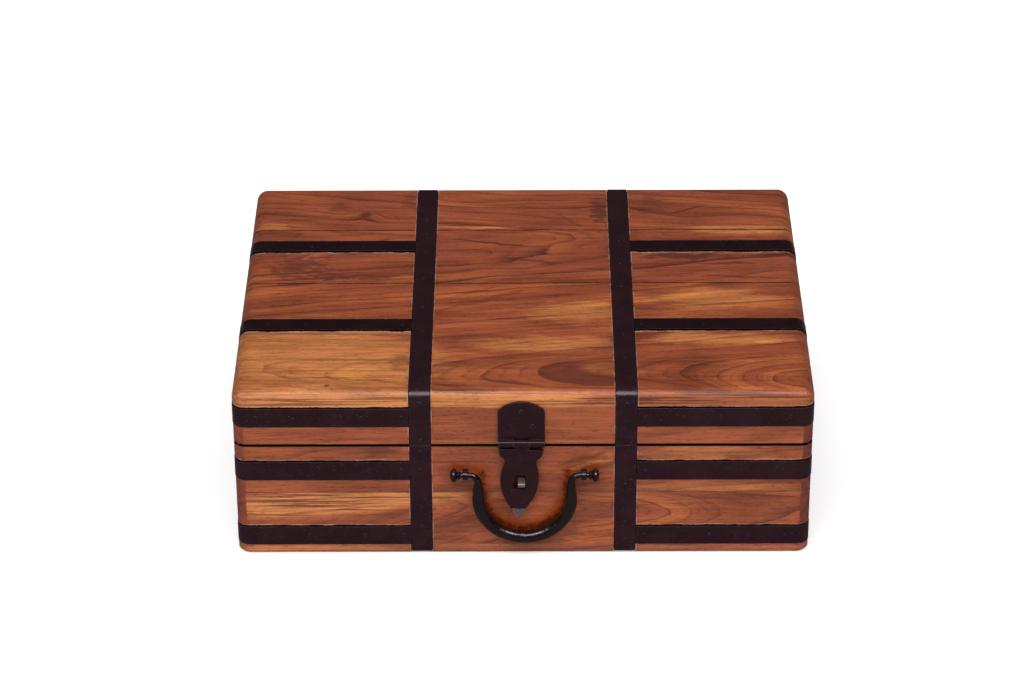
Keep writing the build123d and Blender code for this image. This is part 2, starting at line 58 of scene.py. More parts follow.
MM = 0.001
TO_MM = 1000.0
MERGE_DISTANCE = 2e-6
SIDES = ("left", "right")
BLACK = (0.0, 0.0, 0.0, 1.0)
WHITE = (1.0, 1.0, 1.0, 1.0)


# ---------------------------------------------------------------- places, from the frame
def middle(node):
    """Middle of a node's box, in millimetres."""
    low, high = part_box(node)
    return (low + high) / 2 * TO_MM


def half_size(node):
    """Half of a node's size, in millimetres."""
    low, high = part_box(node)
    return (high - low) / 2 * TO_MM


half_width, half_depth, box_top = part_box("lid_top_back")[1] * TO_MM
joint_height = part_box("lid_front")[0].z * TO_MM
wall_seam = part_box("base_front_lower")[1].z * TO_MM
top_seams = [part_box(f"lid_top_{part}")[1].y * TO_MM for part in ("front", "middle")]
strap_x = middle("lid_strap_right").x
strap_half = half_size("lid_strap_right").x
side_strap_y = middle("lid_side_strap_back_right").y
band_half = half_size("lid_band_right").z
band_levels = [middle(f"{band}_right").z for band in ("lid_band", "base_upper_band", "base_lower_band")]
hasp_middle, hasp_half = middle("hasp_leaf"), half_size("hasp_leaf")
bail_middle, bail_half = middle("handle_bail"), half_size("handle_bail")
staple_middle = middle("hasp_staple")
pivot_height = middle("handle_eye_left").z


# ---------------------------------------------------------------- settings
def colour_setting(name, description, colour):
    """A colour that a user can change."""
    fixed = dict(subtype="COLOR", size=4, min=0.0, max=1.0)
    return FloatVectorProperty(name=name, description=description, default=(*colour, 1.0), **fixed)


def length_setting(name, description, millimetres):
    """A length that a user can change, given in millimetres and kept in metres."""
    fixed = dict(subtype="DISTANCE", unit="LENGTH", min=0.0)
    return FloatProperty(name=name, description=description, default=millimetres * MM, **fixed)


def share_setting(name, description, share):
    """A share from 0 to 1 that a user can change."""
    fixed = dict(subtype="FACTOR", min=0.0, max=1.0)
    return FloatProperty(name=name, description=description, default=share, **fixed)


def strength_setting(name, description, strength):
    """A light's strength that a user can change."""
    return FloatProperty(name=name, description=description, default=strength, min=0.0)


class TimberSettings(bpy.types.PropertyGroup):
    """Colours and finish of the boards."""

    tone: colour_setting("Tone", "Oiled timber between its growth rings", (0.268, 0.0605, 0.0222))
    pale: colour_setting("Pale Figure", "Pale streaks and sapwood", (0.50, 0.175, 0.050))
    deep: colour_setting("Deep Figure", "Knots and dark figure", (0.085, 0.020, 0.013))
    # The pooled varnish colour is partly painted shade round the handle and the hasp's leaf.
    varnish_and_shade: colour_setting("Pooled Varnish and Shade", "Thick varnish round the hasp", (0.235, 0.034, 0.004))
    edge: length_setting("Board Edge", "Width of the boards' softened edges", 0.28)
    sheen: share_setting("Roughness", "Roughness of the oiled surface", 0.36)


class IronSettings(bpy.types.PropertyGroup):
    """Colours and finish of the ironwork."""

    paint: colour_setting("Black Finish", "Finish of the straps and the hasp", (0.0155, 0.0047, 0.0072))
    worn: colour_setting("Worn Edge", "Edges where the black finish has rubbed off", (0.16, 0.125, 0.11))
    bright: colour_setting("Bright Iron", "Bare iron", (0.13, 0.115, 0.105))
    edge: length_setting("Strap Edge", "Width of the straps' rounded edges", 0.22)
    roughness: share_setting("Roughness", "Roughness of the black finish", 0.25)


class NailSettings(bpy.types.PropertyGroup):
    """Sizes of the nail heads."""

    width: length_setting("Head Width", "Width of a nail head", 3.3)
    height: length_setting("Head Height", "How far a nail head stands up", 0.5)
    seed: IntProperty(name="Seed", description="Changes how the heads differ", default=4)


class HandleSettings(bpy.types.PropertyGroup):
    """Sizes of the drop handle."""

    bow: length_setting("Bow Radius", "From the handle's middle to the centre line of its grip", 32.2)
    grip: length_setting("Grip Radius", "Radius of the iron in the middle of the grip", 4.6)
    arm: length_setting("Arm Radius", "Radius of the iron at the top of an arm", 2.7)
    neck: length_setting("Neck Radius", "Radius of the iron in the split pins", 2.0)
    bend: length_setting("Bend Radius", "Radius of the bend from an arm to its pivot", 6.5)
    knob: length_setting("Knob Radius", "Radius of the knobs at the ends", 4.95)


class StageSettings(bpy.types.PropertyGroup):
    """Camera, light and floor."""

    lens: FloatProperty(
        name="Lens",
        description="Focal length of the camera",
        subtype="DISTANCE_CAMERA",
        unit="CAMERA",
        default=124.14,
    )
    corner_light: strength_setting("Corner Lights", "Each light from above a front corner", 0.98)
    middle_light: strength_setting("Middle Light", "The light from above the front", 1.0)
    sky: strength_setting("Surrounding Light", "The light from all round", 0.5)


# ---------------------------------------------------------------- nodes
def sum_method(operation, turned=False):
    """A method that puts a sum's node in the tree, with its two numbers in order or turned round."""

    def method(self, other):
        pair = (other, self) if turned else (self, other)
        return self.nodes.maths(operation, *pair)

    return method


class Value:
    """What a node gives out. If it is a number it can stand in a sum, which makes the sum's nodes."""

    __add__, __radd__ = sum_method("ADD"), sum_method("ADD", turned=True)
    __sub__, __rsub__ = sum_method("SUBTRACT"), sum_method("SUBTRACT", turned=True)
    __mul__, __rmul__ = sum_method("MULTIPLY"), sum_method("MULTIPLY", turned=True)
    __truediv__, __rtruediv__ = sum_method("DIVIDE"), sum_method("DIVIDE", turned=True)
    __pow__ = sum_method("POWER")
    __lt__, __gt__ = sum_method("LESS_THAN"), sum_method("GREATER_THAN")

    def __init__(self, nodes, socket):
        self.nodes = nodes
        self.socket = socket

    def __abs__(self):
        return self.nodes.maths("ABSOLUTE", self)


class Nodes:
    """Adds nodes to a tree and hands back their values."""

    def __init__(self, tree):
        self.tree = tree

    def feed(self, socket, value):
        """Joins a value to an input, or sets the input to a plain number, colour or name."""
        if isinstance(value, Value):
            self.tree.links.new(value.socket, socket)
        else:
            socket.default_value = value

    def wire(self, node, **values):
        """Feeds a node's inputs by name. An underscore stands for a space."""
        for name, value in values.items():
            self.feed(node.inputs[name.replace("_", " ")], value)

    def add(self, kind, inputs=None, **fields):
        """A new node, with its fields set and its inputs fed."""
        node = self.tree.nodes.new(kind)
        for field, value in fields.items():
            setattr(node, field, value)
        for key, value in (inputs or {}).items():
            self.feed(node.inputs[key], value)
        return node

    def out(self, kind, inputs=None, socket=0, **fields):
        """One value of a new node."""
        return Value(self, self.add(kind, inputs, **fields).outputs[socket])

    def outs(self, node):
        """All values of a node, by name."""
        return {socket.name: Value(self, socket) for socket in node.outputs}

    def maths(self, operation, *values, clamp=False):
        """A sum on numbers."""
        return self.out("ShaderNodeMath", dict(enumerate(values)), operation=operation, use_clamp=clamp)

    def product(self, first, second):
        """Two numbers multiplied, kept between 0 and 1."""
        return self.maths("MULTIPLY", first, second, clamp=True)

    def larger(self, first, *others):
        """The largest of some numbers."""
        for other in others:
            first = self.maths("MAXIMUM", first, other)
        return first

    def smaller(self, first, *others):
        """The smallest of some numbers."""
        for other in others:
            first = self.maths("MINIMUM", first, other)
        return first

    def fraction(self, value):
        """The part of a number after its point."""
        return self.maths("FRACT", value)

    def far(self, across, up):
        """How far off a place is, from its distances across and up."""
        return self.maths("SQRT", across * across + up * up)

    def past(self, value, half):
        """How far a number lies outside a stretch from -half to half."""
        return self.larger(abs(value) - half, 0.0)

    def vector(self, operation, *values):
        """A sum on vectors."""
        socket = "Value" if operation in ("LENGTH", "DOT_PRODUCT") else "Vector"
        return self.out("ShaderNodeVectorMath", dict(enumerate(values)), socket, operation=operation)

    def split(self, vector):
        """The three parts of a vector."""
        return self.outs(self.add("ShaderNodeSeparateXYZ", {0: vector})).values()

    def joined(self, x, y, z):
        """A vector from three numbers."""
        return self.out("ShaderNodeCombineXYZ", {0: x, 1: y, 2: z})

    def even(self, value):
        """A vector, or a grey, whose three parts are one number."""
        return self.joined(value, value, value)

    def smooth(self, value, low, high, start=0.0, end=1.0):
        """Goes smoothly from start at low to end at high."""
        fed = {0: value, 1: low, 2: high, 3: start, 4: end}
        return self.out("ShaderNodeMapRange", fed, interpolation_type="SMOOTHSTEP")

    def blend(self, factor, first, second, how="MIX"):
        """A mix of two colours."""
        fed = {0: factor, 6: first, 7: second}
        return self.out("ShaderNodeMix", fed, 2, data_type="RGBA", blend_type=how)

    def noise(self, vector, size, seed, detail=2.0, socket="Fac"):
        """Seeded noise, with lumps of about one size or of a size along each axis."""
        sizes = size if isinstance(size, tuple) else (size, size, size)
        at = self.vector("MULTIPLY", vector, tuple(1 / part for part in sizes))
        fed = {"Vector": at, "W": seed, "Scale": 1.0, "Detail": detail, "Roughness": 0.55}
        return self.out("ShaderNodeTexNoise", fed, socket, noise_dimensions="4D")

    def noise_on(self, value, seed):
        """Noise along a single number."""
        fed = {"Vector": self.joined(value, 0.0, 0.0), "W": seed, "Scale": 1.0, "Detail": 0.0}
        return self.out("ShaderNodeTexNoise", fed, "Fac", noise_dimensions="4D")


SOCKETS = {
    "float": "NodeSocketFloat",
    "vector": "NodeSocketVector",
    "colour": "NodeSocketColor",
    "geometry": "NodeSocketGeometry",
    "material": "NodeSocketMaterial",
    "whole": "NodeSocketInt",
}


def new_group(name, kind, inputs, outputs):
    """A node group: its tree, its nodes, what it is fed and the node that takes its outputs."""
    tree = bpy.data.node_groups.new(name, kind)
    for socket, form, *default in inputs:
        made = tree.interface.new_socket(socket, in_out="INPUT", socket_type=SOCKETS[form])
        if default:
            made.default_value = default[0]
    for socket, form in outputs:
        tree.interface.new_socket(socket, in_out="OUTPUT", socket_type=SOCKETS[form])
    nodes = Nodes(tree)
    fed = nodes.outs(nodes.add("NodeGroupInput"))
    return tree, nodes, fed, nodes.add("NodeGroupOutput")


# ---------------------------------------------------------------- shared shader groups
def make_timber_grain():
    """Growth rings round a pith that lies along X, with fibres and pores, in millimetres."""
    tree, n, fed, out = new_group(
        "Timber Grain",
        "ShaderNodeTree",
        [
            ("Vector", "vector"),
            ("Tone", "colour"),
            ("Seed", "float", 0.0),
            ("Ring Width", "float", 5.0),
            ("Taper", "float", 0.05),
            ("Wander", "float", 5.0),
            ("Lift", "float", 0.0),
            ("Contrast", "float", 0.8),
            ("Calm", "float", 0.0),
            ("Early Tint", "colour", (1.75, 2.15, 1.35, 1.0)),
            ("Late Tint", "colour", (0.36, 0.3, 0.42, 1.0)),
        ],
        [("Color", "colour"), ("Height", "float"), ("Late", "float")],
    )
    # The pith wanders across the grain, in long sweeps with a small flutter on them.
    at, seed, calm = fed["Vector"], fed["Seed"], fed["Calm"]
    half, flutter_share = (0.5, 0.5, 0.5), (0.12, 0.12, 0.12)
    sweep = n.vector("SUBTRACT", n.noise(at, (120, 30, 30), seed, detail=1.0, socket="Color"), half)
    flutter = n.vector("SUBTRACT", n.noise(at, (60, 11, 11), seed + 7.3, socket="Color"), half)
    both = n.vector("ADD", sweep, n.vector("MULTIPLY", flutter, flutter_share))
    wander = fed["Wander"] * 4.0
    moved = n.vector("ADD", at, n.vector("MULTIPLY", both, n.joined(0.0, wander, wander)))

    # A strong year's ring fades in slowly, and a weak one's is a thin line.
    x, y, z = n.split(moved)
    radius = n.far(y, z) + x * fed["Taper"] + fed["Lift"]
    ring = radius / fed["Ring Width"]
    ring = ring + n.noise_on(ring * 0.42, seed) * 2.2
    phase = n.fraction(ring)
    strength = n.smooth(n.noise_on(ring * 0.8, seed + 21.0), 0.36, 0.64)
    patchy = n.noise(at, (60, 7, 7), seed + 3.1)
    lively = n.product(fed["Contrast"], 1.0 - calm)
    late = phase ** (10.0 - strength * 6.8) * n.smooth(phase, 1.0, 0.97)
    late = late * (0.75 + strength * 0.6) * n.smooth(patchy, 0.34, 0.6, 0.35, 1.2)
    late = n.product(late, lively)
    hair = n.fraction(ring * 3.0) ** 4.5 * n.smooth(patchy, 0.64, 0.4, 0.22, 0.62)
    hair = n.product(hair, lively)

    # Broad figure follows the rings, and fibres run along the grain.
    figure = n.noise(n.joined(x * (1 / 140), ring * 0.55, 0.0), 1.0, seed + 11.0)
    cloud = n.noise(at, (50, 16, 16), seed + 17.0, detail=3.0)
    fibre = n.noise(at, (30, 0.9, 0.9), seed + 5.0, detail=3.0)
    streak = n.noise(at, (60, 2.4, 2.4), seed + 9.0)
    line = n.smooth(n.noise(at, (110, 1.5, 1.5), seed + 27.0), 0.5, 0.56) * (calm * 0.9)
    pores = n.smooth(n.noise(at, (3.6, 0.8, 0.8), seed + 13.0, detail=1.0), 0.56, 0.7)
    early = n.product(n.smooth(figure, 0.48, 0.7), lively * 0.62)
    shade = n.smooth(figure, 0.48, 0.28) * (lively * 0.5)

    tone = fed["Tone"]
    pale = n.blend(1.0, tone, fed["Early Tint"], "MULTIPLY")
    dark = n.blend(1.0, tone, fed["Late Tint"], "MULTIPLY")
    colour = n.blend(early, tone, pale)
    for share in (shade, hair, n.larger(late, line)):
        colour = n.blend(share, colour, dark)
    level = n.smooth(fibre, 0.34, 0.66, 0.89, 1.11) + n.smooth(streak, 0.34, 0.66, -0.12, 0.12)
    level = level + n.smooth(cloud, 0.3, 0.7, -0.16, 0.16) - pores * 0.34
    colour = n.blend(1.0, colour, n.even(level), "MULTIPLY")
    n.wire(out, Color=colour, Height=fibre * 0.35 - late * 0.25 - pores * 0.6, Late=late)
    return tree


def make_patch():
    """A soft-edged oval patch, such as a knot, a pale streak or a stain, in millimetres."""
    tree, n, fed, out = new_group(
        "Timber Patch",
        "ShaderNodeTree",
        [
            ("Vector", "vector"),
            ("Centre", "vector"),
            ("Radii", "vector"),
            ("Ragged", "float", 0.4),
            ("Slant", "float", 0.0),
            ("Grit", "float", 1.0),
            ("Soft", "float", 0.6),
            ("Seed", "float", 0.0),
        ],
        [("Mask", "float"), ("Swell", "float")],
    )
    rim, swell_reach = 1.05, 3.0
    at, seed = fed["Vector"], fed["Seed"]
    away = n.vector("SUBTRACT", at, fed["Centre"])
    wave = (n.noise(at, 24, seed) - 0.5) * (fed["Ragged"] * 22.0)
    along, _, _ = n.split(away)
    slip = along * fed["Slant"] + wave
    away = n.vector("DIVIDE", n.vector("ADD", away, n.joined(0.0, slip, slip)), fed["Radii"])
    distance = n.vector("LENGTH", away)
    rough = n.noise(n.vector("MULTIPLY", at, n.even(fed["Grit"])), (22, 6, 6), seed, detail=3.0)
    shift = (rough - 0.5) * (fed["Ragged"] * 3.0)
    mask = n.smooth(distance + shift, rim, rim - fed["Soft"])
    n.wire(out, Mask=mask, Swell=n.smooth(distance + shift * 0.15, swell_reach, 0.0))
    return tree


def make_strap_border():
    """Stains beside the straps on the box's outside, painted shade in its open grooves, joint and seams,
    pale specks along the grooves, partly painted highlight, and its darker ends, partly painted shade, in
    millimetres.
    """
    tree, n, fed, out = new_group(
        "Strap Border",
        "ShaderNodeTree",
        [("Vector", "vector")],
        [("Stain", "float"), ("Gap", "float"), ("Chip", "float"), ("End", "float")],
    )
    far_off, rim_height, speck_offset = 1000.0, 10.0, 0.4
    at = fed["Vector"]
    x, y, z = n.split(at)
    across = abs(x)
    rough = n.noise(at, 13, seed=2.0, detail=3.0)
    fine = n.noise(at, 2.4, seed=6.0)
    speck_noise = n.noise(at, 9, seed=16.0, detail=3.0)
    on_top = z > box_top - rim_height
    on_wall = 1.0 - on_top
    skin = n.larger(across - half_width, abs(y) - half_depth, z - box_top, 0.0 - z)
    outside = n.smooth(skin, -3.6, -2.2)

    # Bands and side straps lie outside the upright straps only.
    between = (across < strap_x) * far_off
    upright = abs(across - strap_x) - strap_half
    bands = n.smaller(*[abs(z - level) - band_half for level in band_levels])
    side_straps = abs(abs(y) - side_strap_y) - strap_half
    nearest = n.smaller(upright, on_top * side_straps + on_wall * bands + between)
    stain_reach = n.smooth(rough, 0.35, 0.7, 0.6, 4.2)
    stain = n.smooth(nearest / stain_reach, 1.0, 0.1) * outside

    # The grooves' edges have broken out above the bands and beside the side straps, most on the top, and
    # the open grooves hold painted shade.
    band_lips = n.smaller(*[abs(z - (level + band_half)) for level in band_levels])
    front_lip = abs(y + (side_strap_y + strap_half))
    back_lip = abs(y - (side_strap_y - strap_half))
    lips = on_wall * band_lips + on_top * n.smaller(back_lip, front_lip)
    lips = lips / (1.0 + on_top * 0.9) + between
    broken = n.smooth(rough, 0.42, 0.66, 0.95, 1.4) + n.smooth(fine, 0.4, 0.75, 0.0, 0.3)
    past_break = lips - broken
    gap = n.larger(n.smooth(past_break, 0.3, 0.0), n.smooth(nearest, 0.5, 0.28))

    # The lid's joint is open all round, and the boards' seams in places, and painted shade lies in them.
    gap = n.larger(gap, n.smooth(abs(z - joint_height), 1.5, 0.8))
    seam = n.smooth(abs(z - wall_seam), 0.6, 0.25) * on_wall
    gap = n.larger(gap, seam * n.smooth(rough, 0.35, 0.62, 0.12, 0.5))
    for level in top_seams:
        seam = n.smooth(abs(y - level), 0.75, 0.3) * on_top
        gap = n.larger(gap, seam * n.smooth(rough, 0.3, 0.55, 0.45, 0.95))

    # Pale specks along the grooves are partly chipped bare timber and partly painted highlight on the
    # lips, and the box's ends are darker.
    beside = n.smooth(abs(upright - 0.75), 0.55, 0.1) * n.smooth(speck_noise, 0.42, 0.62, 0.06, 0.55)
    along = n.smooth(abs(past_break - speck_offset), 0.45, 0.1) * n.smooth(speck_noise, 0.42, 0.62, 0.2, 0.85)
    chips_and_glints = n.larger(beside, along)
    # The ends are darkened partly for their end grain and partly as painted shade.
    end_reach = across - n.smooth(rough, 0.3, 0.7, 0.0, 5.0)
    end = n.smooth(end_reach, half_width - 14.0, half_width - 4.0)
    n.wire(out, Stain=stain, Gap=gap * outside, Chip=chips_and_glints * outside, End=end)
    return tree


def make_varnish_pool():
    """Thick varnish round the hasp's leaf and inside the handle, its colour partly painted shade, and
    painted shade under the handle's bow, behind the hasp's barrel, under its leaf and round the staple, in
    millimetres.
    """
    tree, n, fed, out = new_group(
        "Varnish and Shade",
        "ShaderNodeTree",
        [("Vector", "vector")],
        [("Mask", "float"), ("Soot", "float")],
    )
    sizes = bpy.context.scene.ditty_handle
    bow_radius = sizes.bow * TO_MM
    bow_height = bail_middle.z - bail_half.z + sizes.grip * TO_MM + bow_radius
    knob_middle, knob_half = (bow_radius + bail_half.x) / 2, (bail_half.x - bow_radius) / 2
    inside_bow, above_pivot, below_leaf = 3.0, 1.5, 7.0
    leaf_half_width, leaf_half_height = 8.0, 11.0
    barrel_half_width, barrel_half_height = hasp_half.x - 1.0, 6.0

    at = fed["Vector"]
    x, y, z = n.split(at)
    bow = x - bail_middle.x
    ring = abs(n.far(bow, n.smaller(z - bow_height, 0.0)) - (bow_radius - inside_bow))
    ring = ring + n.larger(z - pivot_height, 0.0) * 1.4
    knobs = n.far(n.past(abs(bow) - knob_middle, knob_half), z - (pivot_height + above_pivot))
    leaf_side = n.past(x - hasp_middle.x, leaf_half_width)
    leaf = n.far(leaf_side, n.past(z - (hasp_middle.z - below_leaf), leaf_half_height))
    nearest = n.smaller(ring, leaf * 1.6, knobs + 4.5)
    rough = n.noise(at, 14, seed=8.0, detail=3.0)
    fine = n.noise(at, 3.5, seed=12.0, detail=3.0)
    front = n.smooth(y, -half_depth + 1.4, -half_depth + 0.6)
    below = n.smooth(z, joint_height + 4.0, joint_height - 12.0)
    # The pooled varnish round the handle and the leaf is partly painted shade.
    mask = n.smooth(nearest + (rough - 0.5) * 16.0, 10.0, 1.5) * front * below

    # Painted shade lies under the handle's bow, round the hasp's barrel and under the leaf, and round the
    # staple in the leaf's slot.
    barrel_side = abs(x - hasp_middle.x) - barrel_half_width
    barrel = n.larger(barrel_side, abs(z - joint_height) - barrel_half_height, 0.0)
    staple = n.far(x - staple_middle.x, z - staple_middle.z)
    painted_shade = n.larger(
        n.smooth(ring + (fine - 0.5) * 14.0, 4.0, -0.5) * 0.75,
        n.smooth(barrel, 1.6, 0.2, 0.0, 0.8),
        n.smooth(leaf + fine, 4.0, 0.5, 0.0, 0.4),
        n.smooth(staple, 9.5, 6.0, 0.0, 0.97),
    )
    n.wire(out, Mask=mask, Soot=painted_shade * front)
    return tree


def make_edge_wear():
    """Where a sharp edge of a piece is rubbed."""
    tree, n, fed, out = new_group(
        "Edge Wear",
        "ShaderNodeTree",
        [
            ("Vector", "vector"),
            ("Radius", "float", 0.7 * MM),
            ("Amount", "float", 1.0),
            ("Seed", "float", 0.0),
        ],
        [("Mask", "float")],
    )
    rounded = n.out("ShaderNodeBevel", {"Radius": fed["Radius"]}, samples=6)
    true = n.out("ShaderNodeNewGeometry", socket="Normal")
    edge = n.smooth(n.vector("DOT_PRODUCT", rounded, true), 0.992, 0.88)
    rubbed = n.smooth(n.noise(fed["Vector"], 6, fed["Seed"], detail=4.0), 0.34, 0.6)
    n.wire(out, Mask=n.product(edge * rubbed, fed["Amount"]))
    return tree


def make_forged_skin():
    """Hammer marks and mottling of forged iron, in millimetres."""
    tree, n, fed, out = new_group(
        "Forged Skin",
        "ShaderNodeTree",
        [("Vector", "vector"), ("Seed", "float", 0.0), ("Size", "float", 1.0)],
        [("Mottle", "float"), ("Height", "float"), ("Pits", "float")],
    )
    seed = fed["Seed"]
    at = n.vector("DIVIDE", fed["Vector"], n.even(fed["Size"]))
    mottle = n.noise(at, 16, seed, detail=3.0)
    dents = n.noise(at, 5, seed + 4.0)
    fine = n.noise(at, 0.7, seed + 8.0, detail=3.0)
    pits = n.smooth(n.noise(at, 1.8, seed + 12.0), 0.62, 0.74)
    n.wire(out, Mottle=mottle, Height=dents * 0.8 + fine * 0.12 - pits * 0.25, Pits=pits)
    return tree


SHADER_GROUPS = {
    "Timber Grain": make_timber_grain,
    "Timber Patch": make_patch,
    "Strap Border": make_strap_border,
    "Varnish and Shade": make_varnish_pool,
    "Edge Wear": make_edge_wear,
    "Forged Skin": make_forged_skin,
}


def placed(nodes, name, **values):
    """The values of a shared group in a material. The group is made when it is first asked for."""
    tree = bpy.data.node_groups.get(name) or SHADER_GROUPS[name]()
    group = nodes.add("ShaderNodeGroup", node_tree=tree)
    nodes.wire(group, **values)
    return nodes.outs(group)


def new_material(name):
    """A material with its nodes, its shader and object coordinates in millimetres."""
    material = bpy.data.materials.new(name)
    material.use_nodes = True
    nodes = Nodes(material.node_tree)
    shader = material.node_tree.nodes["Principled BSDF"]
    at = nodes.out("ShaderNodeTexCoord", socket="Object")
    in_mm = nodes.out("ShaderNodeMapping", {"Vector": at, "Scale": (TO_MM, TO_MM, TO_MM)})
    return material, nodes, shader, in_mm


def tinted(colour, tint):
    """A colour with each of its parts times the tint's, and nothing of it let through."""
    return (*(value * part for value, part in zip(colour, tint)), 1.0)


# ---------------------------------------------------------------- timber
# A board's rings lie round a pith along X or Y. pith: a place on that line, in millimetres. turn: its lean
# in degrees. ring: the rings' width. taper: how fast they widen along it. wander: how far they stray.
# contrast: how dark their late wood is. tint: the board's tone, at the box's ends partly painted shade.
# seed: tells the boards' figures apart.
Board = namedtuple(
    "Board",
    "node along pith turn ring taper wander contrast tint seed patches knots",
    defaults=((), ()),
)
# where and radii in millimetres, then the kind, strength, raggedness, slant, fineness and softness.
Patch = namedtuple(
    "Patch",
    "where radii kind strength ragged slant grit soft",
    defaults=(0.4, 0.0, 1.0, 0.6),
)
# rise: how many rings the grain is lifted by. dark: the share of the deep colour.
Knot = namedtuple("Knot", "where radii rise dark")

# PALE and DEEP patches are coloured, and a CALM one has weaker rings. A CLEAR one thins the DEEP ones
# before it.
PALE, DEEP, CALM, CLEAR = "pale", "deep", "calm", "clear"
# The tints for the boards at the box's ends are darker, partly for their end grain and partly as painted
# shade, and the right end's most, as painted shade.
PLAIN, DUSKY, END, SHADED_END = (1.0, 1.0, 1.0), (0.95, 0.95, 1.05), (0.84, 0.7, 0.9), (0.6, 0.46, 0.6)
PATCH_DEPTH = 40


def on_top(place, radii, kind, strength, *shape):
    """A patch on the lid's top, with its place and radii across and back."""
    return Patch((*place, box_top), (*radii, PATCH_DEPTH), kind, strength, *shape)


def on_front(place, radii, kind, strength, *shape):
    """A patch on the front, with its place and radii across and up."""
    (x, z), (wide, high) = place, radii
    return Patch((x, -half_depth, z), (wide, PATCH_DEPTH, high), kind, strength, *shape)


